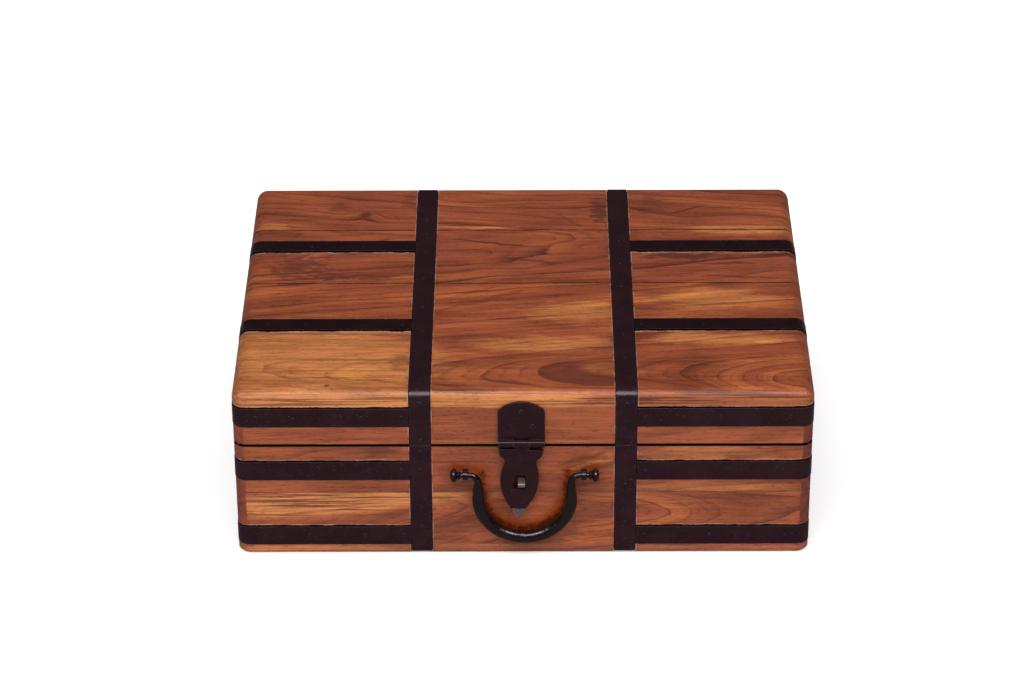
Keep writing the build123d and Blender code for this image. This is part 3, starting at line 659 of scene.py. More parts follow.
BOARDS = [
    Board(
        "lid_top_front", along="X", pith=(0, -121, 112), turn=0.5, ring=6.5, taper=-0.135, wander=3.0,
        contrast=0.85, tint=PLAIN, seed=3.0,
        patches=[
            on_top((-140, -104), (100, 64), PALE, 0.9, 0.25),
            on_top((-140, -104), (100, 64), CALM, 0.45, 0.3),
            on_top((40, -40), (44, 18), PALE, 0.6, 0.5),
            on_top((12, -84), (66, 12), PALE, 0.65, 0.4),
            on_top((136, -77), (64, 9), PALE, 0.8, 0.4),
            on_top((140, -22), (56, 18), PALE, 0.6, 0.5),
            Patch((-90, -149, 126), (200, 10, 14), PALE, 1.0, 0.3),
            Patch((140, -149, 126), (90, 10, 14), PALE, 0.28, 0.6),
            Patch((0, -149, 126), (330, 13, 14), CALM, 0.95, 0.2),
            on_top((44, -124), (34, 16), DEEP, 0.6, 0.08, 0.12, 1.0, 0.16),
            on_top((-25, -22), (44, 3.0), DEEP, 0.4, 0.5, -0.5),
            on_top((-35, -12), (28, 2.6), DEEP, 0.3, 0.6, -0.5),
            on_top((-18, -133), (32, 2.4), DEEP, 0.55, 0.4, 0.26),
            on_top((-120, -131), (48, 1.8), DEEP, 0.45, 0.5, 0.08),
            on_top((-140, -69), (60, 2.2), DEEP, 0.45, 0.5, 0.05),
            on_top((-162, -120), (14, 5), DEEP, 0.3, 0.8),
            on_top((-86, -110), (9, 14), DEEP, 0.4, 0.6),
            Patch((-134.6, -138.8, box_top), (2.6, 1.8, 9), DEEP, 0.85, 0.2),
            on_top((64, -118), (31, 12), CLEAR, 0.95, 0.12, 0.15, 1.0, 0.5),
            on_top((62, -119), (28, 10), PALE, 0.42, 0.12, 0.15, 1.0, 0.5),
        ],
        knots=[Knot((190, -139, box_top), (28, 14, PATCH_DEPTH), -3.4, 0.0)],
    ),
    Board(
        "lid_top_middle", along="X", pith=(0, 62, 84), turn=-2.2, ring=6.5, taper=0.06, wander=6.0,
        contrast=0.8, tint=DUSKY, seed=11.0,
        patches=[
            on_top((-24, 61), (44, 1.8), DEEP, 0.85, 0.3, 0.18),
            on_top((6, 34), (30, 2.0), DEEP, 0.6, 0.4, 0.22),
            on_top((52, 21), (17, 1.4), DEEP, 0.6, 0.3, 0.12),
            on_top((-162, 26), (22, 17), DEEP, 0.62, 1.4, 0.0, 2.6),
            on_top((-132, 13), (20, 9), DEEP, 0.62, 1.4, 0.0, 2.6),
            on_top((-105, 11), (17, 6), DEEP, 0.55, 1.2, 0.0, 1.8),
            on_top((-139.5, 8.5), (8, 1.4), DEEP, 0.85, 0.3, -0.87),
            on_top((120, 41), (38, 4.5), DEEP, 0.8, 0.9, 0.0, 1.3),
            on_top((150, 30), (22, 3.2), DEEP, 0.8, 0.8),
            on_top((164, 9), (38, 1.8), DEEP, 0.7, 0.4, 0.06),
            on_top((157, 78), (50, 4), PALE, 0.6, 0.4),
            on_top((-30, 5), (150, 4), DEEP, 0.2, 0.9),
        ],
        knots=[Knot((-25, 16, box_top), (9, 6, PATCH_DEPTH), 0.6, 0.0)],
    ),
    Board(
        "lid_top_back", along="X", pith=(0, 172, 88), turn=1.6, ring=6.5, taper=-0.07, wander=6.0,
        contrast=0.75, tint=DUSKY, seed=23.0,
        patches=[
            on_top((-30, 84.5), (38, 2.6), PALE, 0.85, 0.3),
            on_top((157, 83), (50, 4), PALE, 0.75, 0.3),
            on_top((57, 110), (8, 22), DEEP, 0.8, 1.3, 0.0, 1.8),
            on_top((121, 110), (19, 1.8), DEEP, 0.75, 0.3, -0.5),
            on_top((30, 100), (22, 2.5), DEEP, 0.4, 0.6, 1.0),
            on_top((-137, 116), (11, 8), DEEP, 0.4, 1.0, 0.0, 1.5),
            on_top((-84, 124), (7, 15), DEEP, 0.4, 0.8),
            on_top((98, 118), (18, 15), DEEP, 0.4, 1.2, 0.0, 1.6),
            on_top((-186, 87), (14, 9), PALE, 0.35, 0.8),
        ],
        knots=[Knot((-116.6, 103, box_top), (6.5, 5.0, 9), 0.9, 0.85)],
    ),
    Board(
        "lid_front", along="X", pith=(0, -190, 150), turn=1.0, ring=6.5, taper=0.03, wander=4.0,
        contrast=0.35, tint=(1.05, 1.07, 0.98), seed=31.0,
    ),
    Board(
        "lid_back", along="X", pith=(0, 185, 84), turn=0.5, ring=6.0, taper=-0.04, wander=4.0,
        contrast=0.6, tint=PLAIN, seed=37.0,
    ),
    Board(
        "lid_left", along="Y", pith=(-160, 0, 150), turn=0.0, ring=6.0, taper=0.05, wander=4.0,
        contrast=0.6, tint=END, seed=41.0,
    ),
    Board(
        "lid_right", along="Y", pith=(166, 0, 84), turn=0.0, ring=6.0, taper=0.04, wander=4.0,
        contrast=0.6, tint=SHADED_END, seed=43.0,
    ),
    Board(
        "base_front_upper", along="X", pith=(0, -120, 122), turn=1.5, ring=7.0, taper=0.06, wander=6.0,
        contrast=0.4, tint=(0.96, 0.94, 0.92), seed=53.0,
        patches=[
            on_front((-98, 84), (14, 6), DEEP, 0.5, 1.0, 0.0, 1.4),
            on_front((42, 80), (26, 3.0), DEEP, 0.5, 0.5, -0.32),
            on_front((44, 74), (30, 2.2), PALE, 0.5, 0.4, -0.32),
            on_front((44, 68), (28, 2.0), DEEP, 0.5, 0.5, -0.32),
            on_front((40, 58), (26, 1.2), DEEP, 0.4, 0.5, -0.2),
            on_front((-38, 60), (20, 2.0), DEEP, 0.35, 0.7, -0.15),
            on_front((-50, 66), (16, 8), DEEP, 0.3, 1.0),
            on_front((120, 84), (70, 8), PALE, 0.35, 0.7),
            on_front((130, 55), (76, 5), PALE, 0.4, 0.3),
        ],
    ),
    Board(
        "base_front_lower", along="X", pith=(0, -130, 36), turn=0.0, ring=4.4, taper=0.15, wander=5.0,
        contrast=0.6, tint=(1.0, 1.0, 0.92), seed=61.0,
        patches=[
            on_front((-132, 43), (130, 13.5), PALE, 1.0, 0.1, -0.07),
            on_front((-140, 42.5), (130, 16), CALM, 1.0, 0.1, -0.07),
            on_front((-92, 33), (20, 6), DEEP, 0.3, 0.6, -0.2),
            on_front((128, 47), (40, 1.2), DEEP, 0.45, 0.3, 0.1),
            on_front((176, 30), (12, 8), DEEP, 0.35, 1.3, 0.0, 1.6),
            on_front((46, 30), (18, 14), DEEP, 0.4, 1.3, 0.0, 1.4),
            on_front((20, 10), (34, 7), DEEP, 0.35, 1.2, 0.0, 1.4),
            on_front((-50, 24), (16, 14), DEEP, 0.4, 1.3, 0.0, 1.4),
            on_front((-134, 49.8), (64, 1.0), DEEP, 0.4, 0.2, -0.055),
            on_front((-140, 46.2), (60, 1.0), DEEP, 0.4, 0.2, -0.05),
            on_front((-138, 43.2), (64, 0.9), DEEP, 0.45, 0.2, -0.06),
            on_front((-136, 40.3), (64, 0.9), DEEP, 0.35, 0.2, -0.07),
            on_front((-138, 36.3), (66, 1.4), DEEP, 0.45, 0.2, -0.09),
        ],
    ),
    Board(
        "base_back_upper", along="X", pith=(0, 120, 130), turn=0.5, ring=6.5, taper=-0.05, wander=5.0,
        contrast=0.6, tint=PLAIN, seed=67.0,
    ),
    Board(
        "base_back_lower", along="X", pith=(0, 112, 70), turn=-1.0, ring=6.0, taper=0.06, wander=6.0,
        contrast=0.7, tint=PLAIN, seed=71.0,
        patches=[
            Patch((90, half_depth, 34), (60, PATCH_DEPTH, 8), PALE, 0.6, 0.5),
        ],
        knots=[Knot((-60, half_depth, 30), (6, 9, 5), 2.0, 0.8)],
    ),
    Board(
        "base_left_upper", along="Y", pith=(-150, 0, 126), turn=0.0, ring=6.0, taper=0.05, wander=5.0,
        contrast=0.6, tint=END, seed=73.0,
    ),
    Board(
        "base_left_lower", along="Y", pith=(-176, 0, -8), turn=0.0, ring=5.5, taper=-0.05, wander=5.0,
        contrast=0.65, tint=END, seed=79.0,
        patches=[
            Patch((-half_width, -30, 34), (PATCH_DEPTH, 60, 7), PALE, 0.35, 0.5),
        ],
    ),
    Board(
        "base_right_upper", along="Y", pith=(158, 0, 40), turn=0.0, ring=6.0, taper=-0.05, wander=5.0,
        contrast=0.6, tint=SHADED_END, seed=83.0,
    ),
    Board(
        "base_right_lower", along="Y", pith=(150, 0, 66), turn=0.0, ring=6.5, taper=0.04, wander=5.0,
        contrast=0.65, tint=SHADED_END, seed=89.0,
        knots=[Knot((half_width, 40, 30), (9, 7, 5), 2.0, 0.8)],
    ),
    Board(
        "base_bottom_front", along="X", pith=(0, -100, 40), turn=1.0, ring=6.0, taper=0.05, wander=5.0,
        contrast=0.6, tint=(1.1, 1.26, 1.55), seed=97.0,
        patches=[
            on_front((-150, 4), (60, 8), PALE, 0.4, 0.5),
        ],
    ),
    Board(
        "base_bottom_middle", along="X", pith=(0, 12, 44), turn=-1.0, ring=7.0, taper=-0.06, wander=6.0,
        contrast=0.6, tint=DUSKY, seed=101.0,
    ),
    Board(
        "base_bottom_back", along="X", pith=(0, 90, -36), turn=0.6, ring=6.0, taper=0.05, wander=5.0,
        contrast=0.6, tint=PLAIN, seed=103.0,
    ),
]


def board_figure(n, at, board, look):
    """A board's tone, the lift of its rings, how calm they are, and its dark spots' masks."""
    tone, lift, calm, spots = tinted(look.tone, board.tint), 0.0, 0.0, []
    for number, patch in enumerate(board.patches):
        shape = dict(Ragged=patch.ragged, Slant=patch.slant, Grit=patch.grit, Soft=patch.soft)
        where = dict(Vector=at, Centre=patch.where, Radii=patch.radii, Seed=board.seed + number)
        mask = placed(n, "Timber Patch", **where, **shape)["Mask"] * patch.strength
        if patch.kind == CALM:
            calm = n.larger(mask, calm)
        elif patch.kind == PALE:
            tone = n.blend(mask, tone, tuple(look.pale))
        elif patch.kind == CLEAR:
            kept = 1.0 - mask
            spots = [spot * kept for spot in spots]
        else:
            spots.append(mask)
    knot_seed = board.seed + 50
    for number, knot in enumerate(board.knots):
        where = dict(Vector=at, Centre=knot.where, Radii=knot.radii, Seed=knot_seed + number)
        made = placed(n, "Timber Patch", Ragged=0.3, **where)
        lift = lift + made["Swell"] * (knot.rise * board.ring)
        spots.append(made["Mask"] * knot.dark)
    return tone, lift, calm, spots


def timber_material(board, look):
    """Oiled timber for one board, with its own rings, figure and knots."""
    material, n, shader, at = new_material("Oiled Timber " + board.node.replace("_", " ").title())
    quarter = -pi / 2 if board.along == "Y" else 0.0
    lean = Euler((0.0, 0.0, quarter + radians(board.turn)))
    place = -(lean.to_matrix() @ Vector(board.pith))
    grain_at = n.out("ShaderNodeMapping", {"Vector": at, "Rotation": lean, "Location": place})
    tone, lift, calm, spots = board_figure(n, at, board, look)
    grain = placed(
        n,
        "Timber Grain",
        Vector=grain_at,
        Tone=tone,
        Seed=board.seed,
        Ring_Width=board.ring,
        Taper=board.taper,
        Wander=board.wander,
        Lift=lift,
        Contrast=board.contrast,
        Calm=calm,
    )
    border = placed(n, "Strap Border", Vector=at)
    pool = placed(n, "Varnish and Shade", Vector=at)
    wear = placed(n, "Edge Wear", Vector=at, Radius=0.9 * MM, Amount=0.35, Seed=board.seed)

    deep, varnish_and_shade = tuple(look.deep), tuple(look.varnish_and_shade)
    rubbed, chip_and_highlight = (0.44, 0.18, 0.08, 1.0), (0.42, 0.28, 0.22, 1.0)
    stain, painted_shade = (0.045, 0.018, 0.013, 1.0), (0.002, 0.001, 0.001, 1.0)
    layers = [
        *((spot, deep) for spot in spots),
        (wear["Mask"], rubbed),
        (border["Stain"] * 0.34, stain),
        # Darker ends, partly end grain and partly painted shade.
        (border["End"] * 0.26, deep),
        # Pale specks on the grooves' lips, partly chips and partly painted highlight.
        (border["Chip"], chip_and_highlight),
        # Pooled varnish, its colour partly painted shade.
        (pool["Mask"] * 0.85, varnish_and_shade),
        # Painted shade under the handle's bow, behind the hasp and round the staple.
        (pool["Soot"] * 0.92, painted_shade),
        # Painted shade in the open grooves, the lid's joint and the boards' seams.
        (border["Gap"], painted_shade),
    ]
    colour = grain["Color"]
    for mask, over in layers:
        colour = n.blend(mask, colour, over)
    # Less shine where the painted shade lies.
    shine = n.smooth(n.larger(border["Gap"], pool["Soot"]), 0.2, 0.9, 0.4, 0.05)
    rough = look.sheen + grain["Late"] * 0.14 - pool["Mask"] * 0.18 + border["Gap"] * 0.4
    height = grain["Height"] - border["Gap"] * 3.0
    bump = n.out("ShaderNodeBump", {"Height": height, "Strength": 0.35, "Distance": 0.22 * MM})
    n.wire(shader, Base_Color=colour, Roughness=rough, Normal=bump, Specular_IOR_Level=shine)
    n.wire(shader, Coat_Weight=pool["Mask"] * 0.4, Coat_Roughness=0.15)
    return material


# ---------------------------------------------------------------- iron
def iron_material(name, look, seed, base, roughness, wear, dents, gloss, metal=0.0, lit_above=None):
    """Blacked iron, rubbed at its edges. Given a height in millimetres, it keeps its colour above it and
    is painted black below it, as painted shade.
    """
    material, n, shader, at = new_material(name)
    x, y, z = n.split(at)
    worn, paint = tuple(look.worn), tuple(look.paint)
    skin = placed(n, "Forged Skin", Vector=at, Seed=seed)
    mottle, pits = skin["Mottle"], skin["Pits"]
    edges = placed(n, "Edge Wear", Vector=at, Radius=0.55 * MM, Amount=wear, Seed=seed)["Mask"]
    colour = n.blend(n.smooth(mottle, 0.4, 0.68), base, tinted(base, (1.4, 1.3, 1.15)))
    colour = n.blend(pits * 0.12, colour, worn)
    colour = n.blend(edges, colour, worn)
    # Below the height the colour goes to the black finish, painted shade on the staple's lower part in the
    # slot.
    if lit_above is not None:
        colour = n.blend(n.smooth(z, lit_above, lit_above - 0.8), colour, paint)

    # The bands and side straps are blacker than the upright straps, most on the top.
    strap_edge = strap_x + strap_half
    cross = n.smooth(abs(x), strap_edge + 0.1, strap_edge + 0.4, 0.0, 0.4)
    cross = cross * n.smooth(z, box_top - 12.0, box_top - 6.0, 0.15, 1.0)
    colour = n.blend(cross, colour, BLACK)

    # The straps' shine is raised over the lid's long edges, a painted highlight on the bends.
    bend = n.smooth(abs(y), half_depth - 10.0, half_depth - 5.0)
    bend = bend * n.smooth(z, box_top - 11.0, box_top - 6.0)
    shine = gloss * (1.0 - cross * 0.6) * (1.0 + bend * 1.05)
    rough = n.smooth(mottle, 0.3, 0.7, roughness - 0.07, roughness + 0.09) + pits * 0.1
    bump = n.out("ShaderNodeBump", {"Height": skin["Height"], "Strength": dents, "Distance": 0.4 * MM})
    metal = n.larger(edges * 0.7, metal)
    n.wire(shader, Base_Color=colour, Roughness=rough, Normal=bump, Metallic=metal)
    n.wire(shader, Specular_IOR_Level=shine, Specular_Tint=(1.0, 0.8, 0.86, 1.0))
    return material


def all_iron(look):
    """The iron finishes, by the name of the slot that each is for."""
    paint, worn, bright = tuple(look.paint), tuple(look.worn), tuple(look.bright)
    lacquer, nail_black = tinted(paint, (0.22, 0.22, 0.22)), (0.007, 0.0035, 0.0042, 1.0)
    finishes = {
        "strap_iron": (
            "Blacked Strap Iron",
            dict(seed=2.0, base=paint, roughness=look.roughness, wear=0.7, dents=0.3, gloss=0.33),
        ),
        "hasp_iron": (
            "Blacked Hasp Iron",
            dict(seed=5.0, base=paint, roughness=look.roughness - 0.04, wear=0.7, dents=0.35, gloss=0.3),
        ),
        "handle_iron": (
            "Enamelled Handle Iron",
            dict(seed=9.0, base=lacquer, roughness=0.21, wear=0.1, dents=1.0, gloss=0.85),
        ),
        "nail_iron": (
            "Blacked Nail Iron",
            dict(seed=14.0, base=nail_black, roughness=0.14, wear=0.13, dents=0.6, gloss=0.7),
        ),
        "worn_iron": (
            "Worn Pin Iron",
            dict(seed=19.0, base=worn, roughness=0.36, wear=0.6, dents=0.3, gloss=0.3, metal=0.6),
        ),
        "bright_iron": (
            "Bare Staple Iron",
            dict(
                seed=24.0, base=bright, roughness=0.3, wear=0.3, dents=0.4, gloss=0.5, metal=0.5,
                lit_above=staple_middle.z + 0.6,
            ),
        ),
    }
    return {
        slot: bpy.data.materials.get(name) or iron_material(name, look, **finish)
        for slot, (name, finish) in finishes.items()
    }


# ---------------------------------------------------------------- pieces
def new_object(name, data):
    """An object in the scene, for a mesh, a camera or a light."""
    made = bpy.data.objects.new(name, data)
    bpy.context.scene.collection.objects.link(made)
    return made


def joined_up(node):
    """A node's shape with its loose triangles joined up."""
    shape = bmesh.new()
    shape.from_mesh(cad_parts[node].data)
    bmesh.ops.remove_doubles(shape, verts=shape.verts, dist=MERGE_DISTANCE)
    return shape


def merged_copy(node, name):
    """A copy of a node with its triangles joined into whole faces."""
    shape = joined_up(node)
    bmesh.ops.dissolve_limit(shape, angle_limit=radians(0.4), verts=shape.verts, edges=shape.edges)
    for face in shape.faces:
        face.smooth = True
    mesh = bpy.data.meshes.new(name)
    shape.to_mesh(mesh)
    shape.free()
    return new_object(name, mesh)


def soften(piece, width):
    """Rounds the sharp edges of a piece and keeps its flats flat."""
    bevel = piece.modifiers.new("Soft Edges", "BEVEL")
    bevel.width = width
    bevel.segments = 2
    bevel.limit_method = "ANGLE"
    bevel.angle_limit = radians(34)
    bevel.use_clamp_overlap = True
    flats = piece.modifiers.new("Flat Faces", "WEIGHTED_NORMAL")
    flats.mode = "FACE_AREA"
    flats.weight = 100


def settle(piece, body, slot, material, *nodes):
    """Gives a piece its material and its body, and hides the nodes that it stands for."""
    piece.data.materials.clear()
    piece.data.materials.append(material)
    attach(piece, body)
    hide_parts(*nodes)


def dressed(node, body, slot, material, edge):
    """A copy of a node with softened edges and a finish, in the node's place."""
    piece = merged_copy(node, node + "_finished")
    soften(piece, edge)
    settle(piece, body, slot, material, node)


def dressed_iron(node, body, slot):
    """A copy of an iron node, with its slot's finish."""
    look = bpy.context.scene.ditty_iron
    dressed(node, body, slot, all_iron(look)[slot], look.edge)


def grown(piece, tree, **values):
    """Turns a piece into the plain mesh that a geometry tree makes of it, with these inputs."""
    modifier = piece.modifiers.new(tree.name, "NODES")
    modifier.node_group = tree
    for item in tree.interface.items_tree:
        key = item.name.replace(" ", "_")
        if item.in_out == "INPUT" and key in values:
            modifier[item.identifier] = values[key]
    view = bpy.context.evaluated_depsgraph_get()
    mesh = bpy.data.meshes.new_from_object(piece.evaluated_get(view), depsgraph=view)
    piece.modifiers.clear()
    piece.data = mesh
    mesh.name = piece.name


def finish_tree(n, out, shape, material):
    """Ends a geometry tree in one real mesh with its material."""
    real = n.out("GeometryNodeRealizeInstances", {"Geometry": shape})
    n.wire(out, Geometry=n.out("GeometryNodeSetMaterial", {"Geometry": real, "Material": material}))


class DITTY_OT_boards(bpy.types.Operator):
    """Dress the boards of the base and the lid in oiled timber."""

    bl_idname = "ditty.boards"
    bl_label = "Boards"

    def execute(self, context):
        look = context.scene.ditty_timber
        for board in BOARDS:
            body, _, _ = board.node.partition("_")
            dressed(board.node, body, "oiled_wood", timber_material(board, look), look.edge)
        return {"FINISHED"}


STRAPS = {
    "base": ["base_strap", "base_upper_band", "base_lower_band"],
    "lid": ["lid_strap", "lid_band", "lid_side_strap_front", "lid_side_strap_back"],
}


class DITTY_OT_straps(bpy.types.Operator):
    """Dress the inlaid straps and bands."""

    bl_idname = "ditty.straps"
    bl_label = "Straps and Bands"

    def execute(self, context):
        for body, straps in STRAPS.items():
            for strap in straps:
                for side in SIDES:
                    dressed_iron(f"{strap}_{side}", body, "strap_iron")
        return {"FINISHED"}


class DITTY_OT_hinges(bpy.types.Operator):
    """Dress the rear hinges."""

    bl_idname = "ditty.hinges"
    bl_label = "Rear Hinges"

    def execute(self, context):
        for side in SIDES:
            dressed_iron(f"base_hinge_leaf_{side}", "base", "strap_iron")
            dressed_iron(f"lid_hinge_leaf_{side}", "lid", "strap_iron")
            dressed_iron(f"lid_hinge_pin_{side}", "base", "worn_iron")
        return {"FINISHED"}


class DITTY_OT_hasp(bpy.types.Operator):
    """Dress the hasp, its pin and its staple."""

    bl_idname = "ditty.hasp"
    bl_label = "Hasp and Staple"

    def execute(self, context):
        dressed_iron("hasp_plate", "lid", "hasp_iron")
        dressed_iron("hasp_pin", "lid", "worn_iron")
        dressed_iron("hasp_leaf", "hasp_leaf", "hasp_iron")
        dressed_iron("hasp_staple", "base", "bright_iron")
        return {"FINISHED"}


# ---------------------------------------------------------------- nails
NAIL_SETS = {
    "base": ["base_strap_nails", "base_upper_band_nails", "base_lower_band_nails", "base_hinge_nails"],
    "lid": [
        "lid_strap_nails",
        "lid_side_strap_nails",
        "lid_band_nails",
        "lid_hinge_nails",
        "hasp_plate_nails",
    ],
}


def solids(shape):
    """The separate solids of a shape, each as a set of its vertices."""
    left = set(shape.verts)
    while left:
        found, border = set(), {left.pop()}
        while border:
            vert = border.pop()
            found.add(vert)
            others = {edge.other_vert(vert) for edge in vert.link_edges} & left
            left -= others
            border |= others
        yield found


def nail_places(node):
    """Where each nail of a node has its head, the way that it looks and its share of the usual width."""
    head_height = 0.6 * MM
    share = 1.45 if node == "hasp_plate_nails" else 1.0
    box_middle = Vector((0.0, 0.0, box_top / 2 * MM))
    shape = joined_up(node)
    places = []
    for nail in solids(shape):
        low = Vector([min(vert.co[axis] for vert in nail) for axis in range(3)])
        high = Vector([max(vert.co[axis] for vert in nail) for axis in range(3)])
        size, mid = high - low, (low + high) / 2
        along = max(range(3), key=lambda axis: size[axis])
        out = Vector((0.0, 0.0, 0.0))
        out[along] = 1.0 if mid[along] > box_middle[along] else -1.0
        places.append((mid + out * (size[along] / 2 - head_height), out, share))
    shape.free()
    return sorted(places, key=lambda place: tuple(place[0]))


def make_nail_tree():
    """A struck nail head at each point: a low dome in a dimple, each turned and sized on its own."""
    tree, n, fed, out = new_group(
        "Struck Nails",
        "GeometryNodeTree",
        [
            ("Geometry", "geometry"),
            ("Head Width", "float", 3.0 * MM),
            ("Head Height", "float", 0.5 * MM),
            ("Variation", "float", 0.16),
            ("Seed", "whole", 0),
            ("Material", "material"),
        ],
        [("Geometry", "geometry")],
    )
    radius = fed["Head Width"] / 2.0
    disc_fed = {"Vertices": 10, "Side Segments": 5, "Radius Top": 0.02 * MM}
    disc_fed.update({"Radius Bottom": radius, "Depth": 0.0})
    disc = n.out("GeometryNodeMeshCone", disc_fed, "Mesh")
    x, y, _ = n.split(n.out("GeometryNodeInputPosition"))
    # The head's height, by how far out it is as a share of the radius.
    profile = n.add("ShaderNodeFloatCurve", {"Value": n.far(x, y) / radius})
    points = profile.mapping.curves[0].points
    points[0].location, points[1].location = (0.0, 1.0), (1.0, 0.0)
    for place in ((0.4, 0.86), (0.6, 0.12), (0.8, 0.34)):
        points.new(*place)
    profile.mapping.update()
    rise = Value(n, profile.outputs[0]) * fed["Head Height"]
    head = n.out("GeometryNodeSetPosition", {"Geometry": disc, "Position": n.joined(x, y, rise)})
    head = n.out("GeometryNodeSetShadeSmooth", {"Geometry": head})

    # Sockets 2 and 3 are the least and the most that a random number can be.
    spin_fed = {"Seed": fed["Seed"], 2: 0.0, 3: 2 * pi}
    spin = n.out("FunctionNodeRandomValue", spin_fed, 1, data_type="FLOAT")
    grow_fed = {"Seed": fed["Seed"] + 1.0, 2: 1.0 - fed["Variation"], 3: 1.0 + fed["Variation"]}
    grow = n.out("FunctionNodeRandomValue", grow_fed, 1, data_type="FLOAT")
    facing = n.out("GeometryNodeInputNamedAttribute", {"Name": "out"}, data_type="FLOAT_VECTOR")
    share = n.out("GeometryNodeInputNamedAttribute", {"Name": "share"}, data_type="FLOAT")
    turned = n.out("FunctionNodeAxisAngleToRotation", {"Axis": (0.0, 0.0, 1.0), "Angle": spin})
    lined = n.out("FunctionNodeAlignRotationToVector", {"Rotation": turned, "Vector": facing}, axis="Z")
    wide = grow * share
    size = n.joined(wide, wide, 1.0)
    nails = n.out("GeometryNodeMeshToPoints", {"Mesh": fed["Geometry"]})
    heads_fed = {"Points": nails, "Instance": head, "Rotation": lined, "Scale": size}
    heads = n.out("GeometryNodeInstanceOnPoints", heads_fed)
    finish_tree(n, out, heads, fed["Material"])
    return tree


class DITTY_OT_nails(bpy.types.Operator):
    """Set a struck head on each nail."""

    bl_idname = "ditty.nails"
    bl_label = "Nails"

    def execute(self, context):
        sizes = context.scene.ditty_nails
        iron = all_iron(context.scene.ditty_iron)["nail_iron"]
        chosen = dict(Head_Width=sizes.width, Head_Height=sizes.height, Seed=sizes.seed, Material=iron)
        tree = make_nail_tree()
        for body, nodes in NAIL_SETS.items():
            places, outs, shares = zip(*[place for node in nodes for place in nail_places(node)])
            mesh = bpy.data.meshes.new(body + "_nail_heads")
            mesh.from_pydata(places, [], [])
            facing = mesh.attributes.new("out", "FLOAT_VECTOR", "POINT")
            facing.data.foreach_set("vector", [part for out in outs for part in out])
            share = mesh.attributes.new("share", "FLOAT", "POINT")
            share.data.foreach_set("value", shares)
            piece = new_object(body + "_nail_heads", mesh)
            grown(piece, tree, **chosen)
            settle(piece, body, "nail_iron", iron, *nodes)
        return {"FINISHED"}


# ---------------------------------------------------------------- handle
def even_shares(steps, first=1):
    """Even shares of a stretch, up to the whole of it."""
    return [step / steps for step in range(first, steps + 1)]


def bead(part, start, end, power):
    """How thick a bead between two shares of a knob's length is, as a share of its full radius."""
    from_middle = abs(2 * (part - start) / (end - start) - 1)
    return max(0.0, 1 - from_middle**power) ** 0.5


def bail_path(sizes):
    """Points along the handle's centre line, from knob to knob, and the iron's radius at each."""
    grip_steps, arm_steps, bend_steps, neck_steps, knob_steps = 28, 16, 12, 8, 22
    grip_end = sizes.grip * (1.0 - 0.06)
    knob_length, collar_end, groove_end = 6.9 * MM, 0.24, 0.34
    collar_radius, groove_radius, tip_radius = sizes.knob * 0.74, sizes.neck * 1.1, 0.35 * MM
    bow_z = (bail_middle.z - bail_half.z) * MM + sizes.grip + sizes.bow
    pivot_z = pivot_height * MM
    arm_top = pivot_z - sizes.bend
    bend_end = sizes.bow + sizes.bend
    knob_start = bail_half.x * MM - knob_length

    side = []
    for part in even_shares(grip_steps, first=0):
        turn = pi / 2 * part
        radius = sizes.grip + (grip_end - sizes.grip) * part * part
        side.append((sizes.bow * sin(turn), bow_z - sizes.bow * cos(turn), radius))
    for part in even_shares(arm_steps):
        radius = grip_end + (sizes.arm - grip_end) * part
        side.append((sizes.bow, bow_z + (arm_top - bow_z) * part, radius))
    for part in even_shares(bend_steps):
        turn = pi / 2 * part
        radius = sizes.arm + (sizes.neck - sizes.arm) * part
        side.append((bend_end - sizes.bend * cos(turn), arm_top + sizes.bend * sin(turn), radius))
    for part in even_shares(neck_steps)[:-1]:
        side.append((bend_end + (knob_start - bend_end) * part, pivot_z, sizes.neck))
    for part in even_shares(knob_steps, first=0):
        if part < collar_end:
            radius = collar_radius * bead(part, 0.0, collar_end, 2.4)
        else:
            radius = sizes.knob * bead(part, collar_end, 1.0, 2.3)
        least = groove_radius if part < groove_end else tip_radius
        side.append((knob_start + knob_length * part, pivot_z, max(radius, least)))

    whole = [(-x, z, radius) for x, z, radius in reversed(side[1:])] + side
    x_middle, y_middle = bail_middle.x * MM, bail_middle.y * MM
    points = [Vector((x_middle + x, y_middle, z)) for x, z, _ in whole]
    return points, [radius for _, _, radius in whole]


def make_bail_tree():
    """Round iron drawn along a path, uneven from the hammer."""
    tree, n, fed, out = new_group(
        "Forged Rod",
        "GeometryNodeTree",
        [
            ("Geometry", "geometry"),
            ("Sides", "whole", 24),
            ("Hammer Depth", "float", 0.1 * MM),
            ("Hammer Size", "float", 4.0 * MM),
            ("Material", "material"),
        ],
        [("Geometry", "geometry")],
    )
    usual_noise = 0.62
    path = n.out("GeometryNodeMeshToCurve", {"Mesh": fed["Geometry"]})
    radius = n.out("GeometryNodeInputNamedAttribute", {"Name": "thickness"}, data_type="FLOAT")
    path = n.out("GeometryNodeSetCurveRadius", {"Curve": path, "Radius": radius})
    ring = n.out("GeometryNodeCurvePrimitiveCircle", {"Resolution": fed["Sides"], "Radius": 1.0})
    rod_fed = {"Curve": path, "Profile Curve": ring, "Scale": radius, "Fill Caps": True}
    rod = n.out("GeometryNodeCurveToMesh", rod_fed)
    at = n.out("GeometryNodeInputPosition")
    noise_fed = {"Vector": at, "Scale": 1.0 / fed["Hammer Size"], "Detail": 1.0}
    bumps = n.out("ShaderNodeTexNoise", noise_fed, "Fac", noise_dimensions="3D")
    depth = (bumps - usual_noise) * fed["Hammer Depth"]
    offset = n.vector("MULTIPLY", n.out("GeometryNodeInputNormal"), n.even(depth))
    rod = n.out("GeometryNodeSetPosition", {"Geometry": rod, "Offset": offset})
    rod = n.out("GeometryNodeSetShadeSmooth", {"Geometry": rod})
    finish_tree(n, out, rod, fed["Material"])
    return tree


